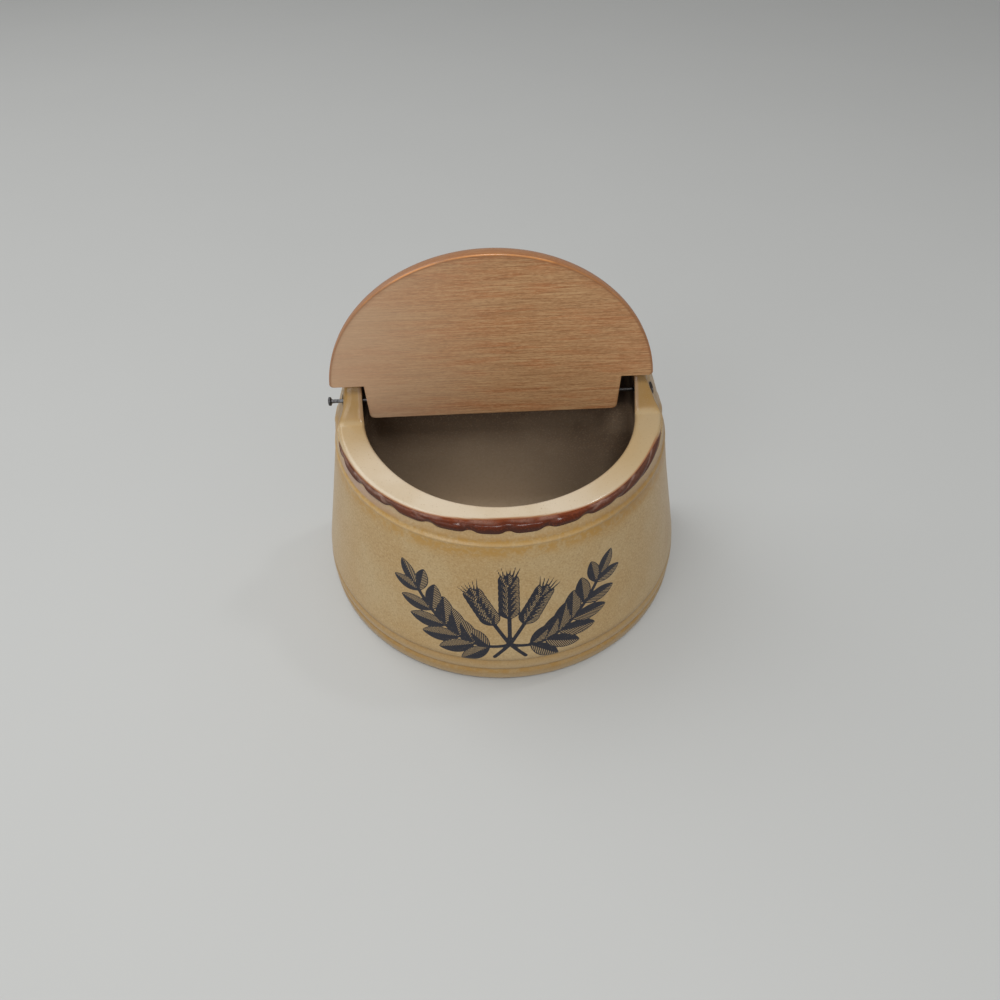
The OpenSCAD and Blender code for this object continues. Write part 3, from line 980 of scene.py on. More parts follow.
def stoneware_material(s, band):
    """The crock's glazes over each other: outside, inside with painted light and shade, painted shade in the
    corners and bores, rim, painted shade, lilac in part a painted reflection, brown, print and bare foot.
    """
    g = Graph("stoneware_glaze")
    cloud = g.noise(scale=45, detail=4)
    mottle = g.noise(scale=300)
    dot = g.noise(scale=700, detail=1)
    speck = g.noise(scale=1500, detail=2, rough=0.6)
    grainy = g.plus(g.times(mottle, MOTTLE_SHARE), dot, DOT_SHARE)
    masks = ("inside", "cream", "brown", "shade", "bare")
    inside, cream, brown, shade, bare = (g.attribute(name) for name in masks)
    shaded_bore = bore_shade_mask(g, s)
    base = outside_glaze(g, s, cloud, speck, grainy)
    base = g.mix(inside, base, inside_glaze(g, s, cloud, speck, dot))
    base = g.mix(g.calc("MAXIMUM", g.attribute("corner"), shaded_bore), base, s.corner_painted_shade)
    base = g.mix(g.calc("SUBTRACT", cream, shaded_bore, clamp=True), base, rim_glaze(g, s, cloud, speck))
    # Painted shade: the shade mask darkens the glaze towards the fleck colour
    base = g.mix(shade, base, s.fleck_and_shade)
    base = g.mix(g.attribute("lilac"), base, band.lilac)
    base = g.mix(brown, base, g.layer(band.brown, band.rust, mottle, low=0.35, high=0.65))
    base = g.mix(g.attribute("rust"), base, s.rust)
    base = g.mix(print_mask(g), base, s.ink)
    base = g.mix(bare, base, s.clay)
    gloss = g.calc("SUBTRACT", g.calc("MAXIMUM", cream, brown), shade, clamp=True)
    rough = g.plus(GLAZE_ROUGH, speck, SPECK_ROUGH)
    for mask, change in ((inside, INSIDE_ROUGH), (gloss, GLOSS_ROUGH), (bare, BARE_ROUGH)):
        rough = g.plus(rough, mask, change)
    dull = g.plus(1.0, gloss, -GLOSS_SMOOTH)
    skin = g.bump(g.noise(scale=420, detail=2), distance=0.12 * MM, strength=g.times(dull, 0.5))
    skin = g.bump(speck, distance=0.03 * MM, strength=g.times(dull, 0.6), under=skin)
    return g.finish(Base_Color=base, Roughness=rough, Normal=skin)


BAND_SIDE = 18 * MM
BAND_SIDE_FULL = 42 * MM
STREAK_SIDE = 8 * MM
STREAK_SIDE_FULL = 30 * MM
DRIFT_SHARE = 0.9
STREAK_SHARE = 1.2
HIGHLIGHT_SHARE = 0.35
BAND_ROUGH = 0.14
BAND_CLOUD_ROUGH = 0.14
BAND_SPECULAR = 0.16


def band_material(s):
    """Glossy red-brown glaze, rusty along the upper edge; painted reflections as lilac streaks at the crimps
    and greyer mauve at the sides, a painted highlight on the upper part, and painted shade in the lower half
    and the crimps' notches.
    """
    g = Graph("brown_band_glaze")
    height = g.attribute("band_height")
    crimp = g.attribute("crimp")
    cloud = g.noise(scale=240)
    speck = g.noise(scale=1600, detail=2)
    cloudy = g.calc("SUBTRACT", cloud, NOISE_MEAN)
    drift = g.plus(height, cloudy, DRIFT_SHARE)
    side = g.calc("ABSOLUTE", g.across(g.place))
    # Painted shade: the band darkens towards its lower edge
    base = g.layer(s.dark, s.brown, drift, low=-0.9, high=0.0)
    base = g.layer(base, s.rust, drift, low=0.35, high=0.95, most=0.8)
    # Greyer at the sides, in part a painted reflection
    base = g.layer(base, s.mauve_and_reflection, side, low=BAND_SIDE, high=BAND_SIDE_FULL, most=0.8)
    # Painted reflection: lilac streaks along the crimps, stronger at the sides
    streak = g.span(g.plus(crimp, cloudy, STREAK_SHARE), low=0.6, high=1.1)
    streak = g.times(streak, g.span(side, low=STREAK_SIDE, high=STREAK_SIDE_FULL, most=0.35))
    base = g.mix(streak, base, s.lilac)
    # Painted highlight: a lilac wash on the band's upper part
    painted_highlight = g.span(g.noise(scale=90, detail=2), low=0.45, high=0.62)
    painted_highlight = g.times(painted_highlight, g.span(drift, low=0.1, high=0.8), HIGHLIGHT_SHARE)
    base = g.mix(painted_highlight, base, s.lilac)
    # Painted shade in the notches of the crimps
    notch = g.times(crimp, g.span(height, low=0.2, high=-0.8, most=0.8))
    base = g.mix(notch, base, s.dark)
    ruddy = g.span(side, low=BAND_SIDE, high=BAND_SIDE_FULL, least=0.6, most=0.15)
    base = g.mix(g.times(g.span(speck, low=0.55, high=0.72), ruddy), base, s.rust)
    base = g.layer(base, s.dark, speck, low=0.45, high=0.3, most=0.5)
    rough = g.plus(BAND_ROUGH, cloud, BAND_CLOUD_ROUGH)
    skin = g.bump(g.noise(scale=500, detail=2), distance=0.12 * MM, strength=0.5)
    return g.finish(Base_Color=base, Roughness=rough, Normal=skin, Specular_IOR_Level=BAND_SPECULAR)


# Reach of the painted sheen on the lid's left
SHEEN_STREAK = 20 * MM
SHEEN_START = 22 * MM
SHEEN_FULL = -45 * MM
STAIN = 0.75
WOOD_ROUGH = 0.62
VARNISH_ROUGH = -0.36


def lid_material(s):
    """Bare, close-grained wood with rosy streaks and short pores, varnished on the top and edge, with a
    painted sheen that pales it towards the left and a painted highlight, in part wear, along the arris.
    """
    g = Graph("lid_wood")
    board = g.attribute("board", "Vector")

    def grain(along, across, detail, rough=NOISE_ROUGH):
        """Noise drawn out along the board, at scales per metre."""
        return g.noise(detail=detail, rough=rough, vector=g.stretched(board, (along, across, across)))

    streak = grain(along=22, across=150, detail=3)
    patch = grain(along=50, across=400, detail=2)
    fibre = grain(along=75, across=2900, detail=2, rough=0.7)
    pores = grain(along=700, across=3600, detail=1)
    base = g.layer(s.wood, s.pink, streak, low=0.42, high=0.66, most=0.5)
    base = g.layer(base, s.pink, patch, low=0.5, high=0.66, most=0.6)
    base = g.layer(base, s.pore, fibre, low=0.5, high=0.68, most=0.5)
    base = g.layer(base, s.pale, fibre, low=0.5, high=0.32, most=0.6)
    base = g.layer(base, s.pore, pores, low=0.54, high=0.68, most=0.35)
    base = g.layer(base, s.pale, pores, low=0.46, high=0.32, most=0.35)
    # Painted sheen: the wood turns paler towards the left
    place = g.plus(g.across(board), streak, SHEEN_STREAK)
    base = g.layer(base, s.left_painted_sheen, place, low=SHEEN_START, high=SHEEN_FULL, most=0.7)
    creep = g.span(g.noise(scale=70, vector=board), low=0.35, high=0.6, least=0.2)
    varnish = g.calc("MAXIMUM", g.attribute("varnish"), g.times(g.attribute("bleed"), creep))
    base = g.mix(varnish, base, g.mix(STAIN, base, s.varnish))
    # Painted highlight along the arris, in part lighter worn wood
    broken = g.span(g.noise(scale=90, vector=board), low=0.38, high=0.6, least=0.25)
    base = g.mix(g.times(g.attribute("arris"), broken), base, s.edge_wear_and_highlight)
    rough = g.plus(WOOD_ROUGH, varnish, VARNISH_ROUGH)
    skin = g.bump(fibre, distance=0.03 * MM, strength=0.6)
    skin = g.bump(pores, distance=0.04 * MM, strength=0.5, under=skin)
    return g.finish(Base_Color=base, Roughness=rough, Normal=skin)


WIRE_GRAIN = (120, 6000, 6000)
WIRE_ROUGH = 0.2
WIRE_GRAIN_ROUGH = 0.25


def nail_material(s):
    """Bright drawn wire with fine lines along it, dark scale in its grooves and painted shade on the right
    nail's shank.
    """
    g = Graph("drawn_wire")
    drawn = g.noise(detail=2, vector=g.stretched(g.place, WIRE_GRAIN))
    worn = g.span(g.noise(scale=900), low=0.55, high=0.75, most=0.6)
    # The groove values hold dark scale and, on the right nail, painted shade
    base = g.mix(g.calc("MAXIMUM", g.attribute("groove"), worn), s.steel, s.soot)
    rough = g.plus(WIRE_ROUGH, drawn, WIRE_GRAIN_ROUGH)
    skin = g.bump(drawn, distance=0.01 * MM, strength=0.5)
    return g.finish(Base_Color=base, Roughness=rough, Normal=skin, Metallic=1.0)


FLOOR_SHADE = 0.97
FLOOR_ROUGH = 0.55


def floor_material(s):
    """Plain pale floor with a faint mottle."""
    g = Graph("pale_floor")
    base = g.mix(g.noise(scale=9), s.floor, s.floor * FLOOR_SHADE)
    return g.finish(Base_Color=base, Roughness=FLOOR_ROUGH)


# Glazes of the crock

CREAM_REACH = math.radians(18)
CREAM_SIDE = math.radians(60)
CREAM_SIDE_REACH = math.radians(16)
CREAM_SOFT = 0.35 * MM
RUST_WIDTH = 0.35 * MM
BROWN_LOW = 2.4 * MM
BROWN_SOFT = 0.5 * MM
BROWN_END = math.radians(72)
BROWN_FADE = math.radians(8)
TAN_MIDDLE = math.radians(-14)
TAN_START = math.radians(25)
TAN_REACH = math.radians(48)
RAMP_RISE = 2 * MM
CROWN_BACK = 6 * MM
CHEEK_BACK = 16 * MM
STAIN_PLACE = (56.5 * MM, -6.5 * MM)
STAIN_REACH = 2.2 * MM
LINE_POOL_DROP = 2.2 * MM
LINE_POOL_WIDTH = 3 * MM
CHANNEL_RISE = 1.6 * MM
CHANNEL_WIDTH = 1.2 * MM
FOOT_POOL_DROP = 0.8 * MM
FOOT_POOL_WIDTH = 1.9 * MM
LIP_H = 2.8 * MM
LIP_WIDTH = 1 * MM
LILAC_LOW = 1 * MM
LILAC_HIGH = 3 * MM
LILAC_SOFT = 0.8 * MM
LILAC_START = math.radians(25)
LILAC_REACH = math.radians(30)
RIGHT_OCHRE = 20 * MM
RIGHT_REACH = 22 * MM
OLIVE_WIDTH = 4 * MM
RIDGE_WIDTH = 1 * MM
INSIDE_TOP = 78 * MM
INSIDE_SOFT = 4 * MM
# Where the painted shade of the upper inside corners behind the hinge lies
CORNER_LOW = 62 * MM
CORNER_Y = -3 * MM
CORNER_X = 38 * MM
CORNER_TOP = 80 * MM
CORNER_SOFT = 5 * MM
# Where the painted light inside lies: paler low down and left of the middle
DEEP_LOW = 10 * MM
DEEP_REACH = 63 * MM
DEEP_MIDDLE = -12 * MM
DEEP_WIDTH = 48 * MM
OCHRE_START = math.radians(60)
OCHRE_REACH = math.radians(25)
BASE_TOP = 13 * MM
BASE_SOFT = 4 * MM

# How strongly ochre pools, the painted shade, lilac with its painted reflection and thin glaze with its
# painted highlight show at each place
LOW_GROOVE_POOL = 0.85
HIGH_GROOVE_POOL = 0.45
LINE_POOL = 0.85
LINE_POOL_RIGHT = 0.7
CHANNEL_POOL = 0.7
RAMP_POOL = 0.85
STAIN_POOL = 0.9
LEFT_POOL = 0.25
# Shares of the painted shade; the first one only darkens the glaze towards the foot
BASE_SHADE = 0.4
CHEEK_SHADE = 0.7
OLIVE_SHADE = 0.5
LEFT_RAMP_SHADE = 0.4
RIGHT_RAMP_SHADE = 0.55
# Shares of the lilac, in part a painted reflection, strongest on the left
FRONT_LILAC = 0.1
LEFT_LILAC = 0.6
RIGHT_LILAC = 0.1
EDGE_LILAC = 0.3
# The pale lip and ridge lines are thin glaze, in part a painted highlight
LIP_THIN = 0.45
RIDGE_THIN = 0.4
LINE_THIN = 0.3
BACK_THIN = 0.3


def cream_edge(s, around):
    """Radius to which the cream glaze covers the rim: it draws in at the front, and less at the right."""
    front = bell(around, CREAM_REACH)
    right = bell(around - CREAM_SIDE, CREAM_SIDE_REACH)
    return s.cream_r - s.cream_draw * front - s.cream_draw_right * right


def rim_masks(s, x, y, z, outside, on_rim, in_front, ramp):
    """Cream up to its edge on the rim, tan at the sides and ramps, brown past the edge, rust between them.

    Lilac lies in the channel between the brown and the turned line, in part a painted reflection of the
    glossy channel.
    """
    around = np.arctan2(x, -y)
    over_edge = np.hypot(x, y) - cream_edge(s, around)
    ends = ease((BROWN_END - np.abs(around)) / BROWN_FADE)
    high = ease((z - s.rim_h + BROWN_LOW) / BROWN_SOFT)
    above = ease((z - s.rim_h + s.line_drop - LILAC_LOW) / LILAC_SOFT)
    below = ease((s.rim_h + LILAC_SOFT - LILAC_HIGH - z) / LILAC_SOFT)
    aside = ease((np.abs(around) - LILAC_START) / LILAC_REACH)
    lilac = FRONT_LILAC + aside * np.where(x < 0, LEFT_LILAC, RIGHT_LILAC)
    return {
        "cream": np.where(on_rim, in_front * np.maximum(ease(-over_edge / CREAM_SOFT), ramp), 0),
        "tan": np.maximum(ease((np.abs(around - TAN_MIDDLE) - TAN_START) / TAN_REACH), ramp),
        "brown": np.where(outside | on_rim, ends * high * ease(over_edge / CREAM_SOFT), 0),
        "rust": np.where(on_rim, ends * bell(over_edge, RUST_WIDTH), 0),
        "lilac": np.where(outside, ends * above * below * lilac, 0),
    }


def wall_masks(s, x, y, z, outside, on_rim, in_front, ramp):
    """Ochre pools in the grooves, beside the turned line and on the ramps; painted shade on the cheeks' outer
    faces, the ramps and the right side by the line, and darker glaze towards the foot; thin glaze on ridges,
    in part a painted highlight on the foot's lip and the ridge.
    """
    from_line = z - s.rim_h + s.line_drop
    from_ridge = z - s.ridge_h
    right = ease((x - RIGHT_OCHRE) / RIGHT_REACH)
    low_groove = bell(from_ridge + s.groove_step + FOOT_POOL_DROP, FOOT_POOL_WIDTH)
    high_groove = bell(from_ridge - s.groove_step, s.groove_w)
    under_line = bell(from_line + LINE_POOL_DROP, LINE_POOL_WIDTH) * (LINE_POOL + LINE_POOL_RIGHT * right)
    over_line = bell(from_line - CHANNEL_RISE, CHANNEL_WIDTH)
    grooves = LOW_GROOVE_POOL * low_groove + HIGH_GROOVE_POOL * high_groove
    pool = np.where(outside, np.clip(grooves + under_line + CHANNEL_POOL * over_line, 0, 1), 0)
    stain = bell(np.hypot(x - STAIN_PLACE[0], y - STAIN_PLACE[1]), STAIN_REACH)
    left_side = ease((-np.arctan2(x, -y) - OCHRE_START) / OCHRE_REACH)
    rim_pool = np.maximum.reduce([RAMP_POOL * ramp, STAIN_POOL * stain, LEFT_POOL * left_side])
    # Painted shade on the cheeks' outer faces, the ramps (more on the right) and the right side by the line;
    # darker towards the foot
    cheek = ramp * (1 - ease((y - HINGE[1]) / CHEEK_BACK))
    base = 1 - ease((z - BASE_TOP) / BASE_SOFT)
    right_side_shade = right * bell(from_line, OLIVE_WIDTH)
    shade = np.maximum.reduce([BASE_SHADE * base, CHEEK_SHADE * cheek, OLIVE_SHADE * right_side_shade])
    rim_shade = ramp * np.where(x > 0, RIGHT_RAMP_SHADE, LEFT_RAMP_SHADE)
    # Pale thin glaze on the foot's lip and the ridge, in part a painted highlight
    lip = bell(z - LIP_H, LIP_WIDTH)
    thin = LIP_THIN * lip + RIDGE_THIN * bell(from_ridge, RIDGE_WIDTH) + LINE_THIN * bell(from_line, s.line_w)
    return {
        "pool": np.where(on_rim, in_front * rim_pool, pool),
        "shade": np.where(on_rim, in_front * rim_shade, np.where(outside, shade, 0)),
        "thin": np.where(on_rim, BACK_THIN * (1 - in_front), np.where(outside, thin, 0)),
    }


def crock_masks(s, rows, points, crown):
    """Where each glaze lies on the crock, as values from 0 to 1 for every grid point."""
    part = np.broadcast_to(rows["part"][:, None], points.shape[:2])
    x, y, z = points[..., 0], points[..., 1], points[..., 2]
    outside = np.isin(part, ["foot", "wall", "rim_out"])
    on_rim = np.isin(part, ["rim_out", "top", "rim_in"])
    in_front = 1 - ease((y - HINGE[1]) / CROWN_BACK)
    ramp = ease(crown / RAMP_RISE)
    masks = rim_masks(s, x, y, z, outside, on_rim, in_front, ramp)
    masks["lilac"] = np.where(part == "rim_in", EDGE_LILAC * ramp * in_front, masks["lilac"])
    masks.update(wall_masks(s, x, y, z, outside, on_rim, in_front, ramp))
    inside = np.isin(part, ["inner", "floor_bend", "floor"])
    masks["inside"] = inside * (1 - ease((z - INSIDE_TOP) / INSIDE_SOFT))
    # Painted light: the inside grows paler towards the floor and left of the middle
    masks["deep"] = (1 - ease((z - DEEP_LOW) / DEEP_REACH)) * bell(x - DEEP_MIDDLE, DEEP_WIDTH)
    # Painted shade in the upper inside corners behind the hinge
    corner = np.isin(part, ["rim_in", "inner"]) * ease((y - CORNER_Y) / CORNER_SOFT)
    corner = corner * ease((np.abs(x) - CORNER_X) / CORNER_SOFT)
    corner = corner * ease((z - CORNER_LOW) / CORNER_SOFT) * (1 - ease((z - CORNER_TOP) / CORNER_SOFT))
    masks["corner"] = corner
    masks["bare"] = np.where(part == "under", 1.0, 0.0)
    return masks


class SALTBOX_OT_crock(bpy.types.Operator):
    """Make the stoneware crock with its glazes and its printed spray"""

    bl_idname = "salt_box.crock"
    bl_label = "Stoneware Crock"

    def execute(self, context):
        s = context.scene.salt_box_crock
        rows = crock_section(s)
        points, crown = crock_points(s, plan_path(), rows)
        grid = closed_grid(points, (0, MIDDLE_Y, 0), (0, MIDDLE_Y, s.floor_t))
        piece = new_piece("stoneware_crock", *grid)
        for name, values in crock_masks(s, rows, points, crown).items():
            paint(piece, name, values, float(name == "bare"), float(name in ("inside", "deep")))
        print_spray(piece, s, context.scene.salt_box_print, rows, points)
        cut_holes(piece, s)
        piece.data.set_sharp_from_angle(angle=CROCK_SHARP)
        dress(piece, "crock", "stoneware", stoneware_material(s, context.scene.salt_box_band), "crock_body")
        return {"FINISHED"}


# Band

BAND_STEPS = 420
BAND_SIDES = 40
BAND_TAPER = math.radians(18)
BAND_TUCK = 0.2 * MM
BAND_OVER = 0.08 * MM
BAND_SOFT = 0.5 * MM
BAND_FRONT = math.radians(24)
BAND_RIGHT = math.radians(20)
BAND_REACH = math.radians(35)
BAND_NARROW = math.radians(46)
BAND_NARROW_REACH = math.radians(28)
CRIMP_WIDTH = 0.15
CRIMP_MIDDLE = 0.7
CRIMP_FALL = 0.3


def band_surface(s, crock):
    """A roll laid round the rim's outer edge: an ellipse from the cream glaze's edge down to the neck.

    The first parameter runs round the section and the second one along the band. The ellipse's long axis
    joins the cream edge on the rim with a scalloped lower edge on the neck. Its short axis is the stand-out,
    which drops in each crimp and at both ends. The crimps lie at even angles, and lean away from the front as
    they rise. To the right the scallops fade and the band narrows. Its top is held just above the rim.
    """
    along = np.linspace(-s.half_angle, s.half_angle, BAND_STEPS)[None, :]
    turn = np.linspace(2 * math.pi, 0, BAND_SIDES, endpoint=False)[:, None]
    up = np.sin(turn)
    right = ease((along - BAND_RIGHT) / BAND_REACH)
    slant = s.crimp_slant * np.tanh(along / s.crimp_pitch) * (1 + right)

    def crimp_at(height):
        """How deep in a crimp each place along the band lies, at a height from -1 to 1."""
        phase = (along - s.crimp_start - slant * height) / s.crimp_pitch
        return bell(phase - np.round(phase), CRIMP_WIDTH)

    taper = np.sqrt(ease((s.half_angle - np.abs(along)) / BAND_TAPER))
    slope = (crock.line_r - crock.rim_r) / crock.line_drop
    narrow = s.narrow * ease((along - BAND_NARROW) / BAND_NARROW_REACH)
    fall = (s.height - s.scallop * crimp_at(-1) * (1 - s.smooth * right)) * (1 - narrow)
    neck_lean = (crock.forward - crock.rim_forward) / crock.line_drop * np.cos(along)
    low_r = crock.rim_r + (slope + neck_lean) * fall
    top_r = cream_edge(crock, along) - crock.rim_forward * np.cos(along)
    top_r = np.minimum(top_r, crock.rim_r - BAND_TUCK)
    past = np.clip(top_r - crock.rim_r + crock.rim_round, 0, crock.rim_round)
    sink = crock.rim_round - np.sqrt(crock.rim_round**2 - past**2)
    long_r = (top_r - low_r) / 2
    long_z = (fall - sink) / 2
    size = np.hypot(long_r, long_z)
    crimp = crimp_at(up) * (CRIMP_MIDDLE - CRIMP_FALL * up)
    out = (s.out + s.front_out * bell(along, BAND_FRONT)) * (1 - s.crimp_depth * crimp)
    bulge = np.cos(turn) * np.abs(np.cos(turn)) ** np.clip(-up, 0, 1)
    stand = taper * out * bulge / size
    radius = (top_r + low_r) / 2 + taper * long_r * up + stand * long_z
    z = crock.rim_h - (fall + sink) / 2 + taper * long_z * up - stand * long_r
    z = soft_min(z, crock.rim_h + BAND_OVER, BAND_SOFT)
    points = np.stack([radius * np.sin(along), -radius * np.cos(along) - crock.rim_forward, z], axis=-1)
    return points, np.broadcast_to(up, z.shape), crimp_at(up)


class SALTBOX_OT_band(bpy.types.Operator):
    """Make the crimped clay band under the rim"""

    bl_idname = "salt_box.band"
    bl_label = "Crimped Band"

    def execute(self, context):
        s = context.scene.salt_box_band
        fields = band_surface(s, context.scene.salt_box_crock)
        points, height, crimp = (np.swapaxes(field, 0, 1) for field in fields)
        ends = points[0].mean(axis=0), points[-1].mean(axis=0)
        piece = new_piece("crimped_clay_band", *closed_grid(points, *ends))
        paint(piece, "band_height", height)
        paint(piece, "crimp", crimp)
        dress(piece, "crock", "brown_glaze", band_material(s), "crimped_band")
        return {"FINISHED"}


# Lid

LID_ARC_STEPS = 150
LID_EDGE_STEPS = 20
LID_BACK_STEPS = 60
LID_ROUND_STEPS = 6
LID_RINGS = 14
LID_MARGIN_RINGS = 6
LID_MIDDLE = np.array([0, -24 * MM])
LID_SHARP = math.radians(60)
TIP_EASE = 1.6
TIP_TRIM = 2
STRAIGHT_REACH = 2 * MM
BLEED_RING = 2
BLEED_LOW = 0.66
BLEED_REACH = 0.3
BLEED_MOST = 0.8
BLEED_SIDES = 0.3
VARNISH_LEAST = 0.2
# Shares of the arris's painted highlight and wear at the sides and at the far end
ARRIS_SIDES = 0.1
ARRIS_FAR = 0.65


def corner_arc(corner, before, after, radius):
    """Points of the arc that rounds a corner between two straight stretches that run to and from it."""
    to = before / np.linalg.norm(before)
    away = after / np.linalg.norm(after)
    half = math.acos(np.clip(-to @ away, -1, 1)) / 2
    inward = (away - to) / np.linalg.norm(away - to)
    centre = corner + inward * radius / math.sin(half)
    start = corner - to * radius / math.tan(half) - centre
    turn = np.linspace(0, math.pi - 2 * half, LID_ROUND_STEPS)[:, None]
    return centre + start * np.cos(turn) + to * radius * np.sin(turn)


def lid_outline(s):
    """Outline of the closed lid seen from above, anticlockwise, and the centre of its round edge.

    After the round edge come six corners with straight stretches between them: the right shoulder's tip, the
    notch beside the tab, the tab's two back corners, the left notch and the left shoulder's tip.
    """
    centre = np.array([s.arc_side, -s.arc_front])
    drop = s.shoulder - s.arc_front
    tip_x = math.sqrt(s.radius**2 - drop**2)
    start, end = (math.atan2(-drop, side * tip_x) % (2 * math.pi) for side in (-1, 1))
    tip_turn = TIP_EASE * s.tip_round / s.radius
    arc = np.linspace(start + tip_turn, end - tip_turn, LID_ARC_STEPS)
    stretches = [centre + s.radius * np.stack([np.cos(arc), np.sin(arc)], axis=-1)]
    half_w = s.tab_half_w
    right, left = (
        [centre + [side * tip_x, -drop], [side * half_w, -s.shoulder], [side * half_w, s.tab_back]]
        for side in (1, -1)
    )
    corners = np.array([*right, *reversed(left)])
    rounds = [s.tip_round, s.notch_round, s.tab_round, s.tab_round, s.notch_round, s.tip_round]
    trims = [TIP_TRIM * s.tip_round, *rounds[1:-1], TIP_TRIM * s.tip_round]
    steps = [LID_EDGE_STEPS, LID_EDGE_STEPS, LID_BACK_STEPS, LID_EDGE_STEPS, LID_EDGE_STEPS]
    edges = corners[1:] - corners[:-1]
    ahead = edges / np.linalg.norm(edges, axis=1)[:, None]
    tangents = [np.array([-math.sin(turn), math.cos(turn)]) for turn in (end, start)]
    befores = [tangents[0], *edges]
    afters = [*edges, tangents[1]]
    for index, corner in enumerate(corners):
        stretches.append(corner_arc(corner, befores[index], afters[index], rounds[index]))
        if index < len(edges):
            first = corner + ahead[index] * trims[index]
            last = corners[index + 1] - ahead[index] * trims[index + 1]
            shares = np.linspace(0, 1, steps[index] + 2)[1:-1, None]
            stretches.append(first + shares * (last - first))
    return np.concatenate(stretches), centre


def raised(places, height):
    """Rings of places in plan, each with its height."""
    return np.concatenate([places, np.broadcast_to(height, places.shape[:2])[..., None]], axis=-1)


def lid_surface(s):
    """Rings of the board from the underside's middle over the edge to the top's middle, and their finish.

    A ring is the outline drawn in towards the middle. The top falls to the round edge along a quarter circle:
    at a distance d inside that edge it lies at t/2 - (r - sqrt(r^2 - (r - d)^2)), where r is the round-over.
    """
    outline, centre = lid_outline(s)
    ahead = (outline - LID_MIDDLE) / np.linalg.norm(outline - LID_MIDDLE, axis=1)[:, None]

    def inside_edge(places):
        """Distance of places inside the round edge."""
        return s.radius - np.linalg.norm(places - centre, axis=-1)

    def top_z(places):
        """Height of the top."""
        inside = np.clip(inside_edge(places), 0, s.edge_round)
        return s.board_t / 2 - s.edge_round + np.sqrt(s.edge_round**2 - (s.edge_round - inside) ** 2)

    low = -s.board_t / 2
    turn = np.linspace(0, math.pi / 2, LID_ROUND_STEPS)[:, None]
    shares = np.linspace(0, 1, LID_RINGS, endpoint=False)[1:, None, None]
    margin = np.linspace(0, 1, LID_MARGIN_RINGS, endpoint=False)[:, None, None]
    bleed_ring = outline - ahead * BLEED_RING * s.bleed
    face = LID_MIDDLE + shares * (bleed_ring - LID_MIDDLE)
    border = bleed_ring + margin * (outline - ahead * s.arris - bleed_ring)
    under = np.concatenate([face, border])
    low_round = outline - ahead * (s.arris * (1 - np.sin(turn)))[..., None]
    small = s.arris * ease(inside_edge(outline) / STRAIGHT_REACH)
    high_round = outline - ahead * (small * (1 - np.cos(turn)))[..., None]
    over = np.linspace(0, math.pi / 2, 2 * LID_ROUND_STEPS)[1:, None]
    round_over = outline - ahead * (s.edge_round * (1 - np.cos(over)) + small)[..., None]
    top = LID_MIDDLE + (1 - shares) * (round_over[-1] - LID_MIDDLE)
    rings = np.concatenate([
        raised(under, low),
        raised(low_round, low + s.arris * (1 - np.cos(turn))),
        raised(high_round, top_z(high_round) - small * (1 - np.sin(turn))),
        raised(round_over, top_z(round_over)),
        raised(top, top_z(top)),
    ])
    bare = len(under)
    rounded = slice(bare, bare + LID_ROUND_STEPS)
    near = ease(1 - inside_edge(rings[..., :2]) / s.bleed)
    far_end = ease((-rings[..., 1] / s.radius - BLEED_LOW) / BLEED_REACH)
    varnish = np.ones(rings.shape[:2])
    varnish[:bare] = 0
    bleed = np.where(varnish > 0, 0, BLEED_MOST * near * (BLEED_SIDES + (1 - BLEED_SIDES) * far_end))
    varnish[rounded] = VARNISH_LEAST + (1 - VARNISH_LEAST) * near[rounded]
    # Where the painted highlight and wear of the arris lie, strongest at the far end
    arris = np.zeros(rings.shape[:2])
    arris[rounded] = (ARRIS_SIDES + ARRIS_FAR * far_end[rounded]) * near[rounded] * np.sin(2 * turn)
    return rings, {"varnish": varnish, "bleed": bleed, "arris": arris}


def on_hinge(s, points):
    """Swings points drawn on the hinge axis up to the open angle and moves them to the hinge."""
    turn = -s.open
    x, y, z = points[..., 0], points[..., 1], points[..., 2]
    swung_y = y * math.cos(turn) - z * math.sin(turn)
    swung_z = y * math.sin(turn) + z * math.cos(turn)
    return np.stack([x + HINGE[0], swung_y + HINGE[1], swung_z + HINGE[2]], axis=-1)


class SALTBOX_OT_lid(bpy.types.Operator):
    """Make the half-moon board lid"""

    bl_idname = "salt_box.lid"
    bl_label = "Board Lid"

    def execute(self, context):
        s = context.scene.salt_box_lid
        rings, finish = lid_surface(s)
        poles = np.array([[*LID_MIDDLE, -s.board_t / 2], [*LID_MIDDLE, s.board_t / 2]])
        piece = new_piece("half_moon_lid", *closed_grid(on_hinge(s, rings), *on_hinge(s, poles)))
        piece.data.set_sharp_from_angle(angle=LID_SHARP)
        for name, values in finish.items():
            paint(piece, name, values, 0.0, float(name == "varnish"))
        board = np.concatenate([poles[:1], rings.reshape(-1, 3), poles[1:]]).astype(np.float32)
        store = piece.data.attributes.new("board", "FLOAT_VECTOR", "POINT")
        store.data.foreach_set("vector", board.ravel())
        dress(piece, "lid", "lid_wood", lid_material(s), "lid_board")
        return {"FINISHED"}


# Nails

NAIL_SIDES = 32
NAIL_SHARP = math.radians(50)
NAIL_ROUND_STEPS = 6
FACE_SPAN = (0.15, 0.9)
FACE_STEPS = 5
HEAD_DOME = 0.1 * MM
HEAD_BEVEL = 0.12 * MM
HEAD_BEVEL_IN = 0.15 * MM
NECK_REACH = 0.15 * MM
NECK_OUT = 0.12 * MM
GRIP_GAP = 0.6 * MM
GRIP_COUNT = 5
GRIP_STEPS = 8
SHANK_STEPS = 12
POINT_ALONG = np.array([0.25, 0.5, 0.75, 0.97])
POINT_RADIUS = np.array([0.8, 0.55, 0.3, 0.05])
HEAD_SOOT = 0.7
GRIP_SOOT = 0.8


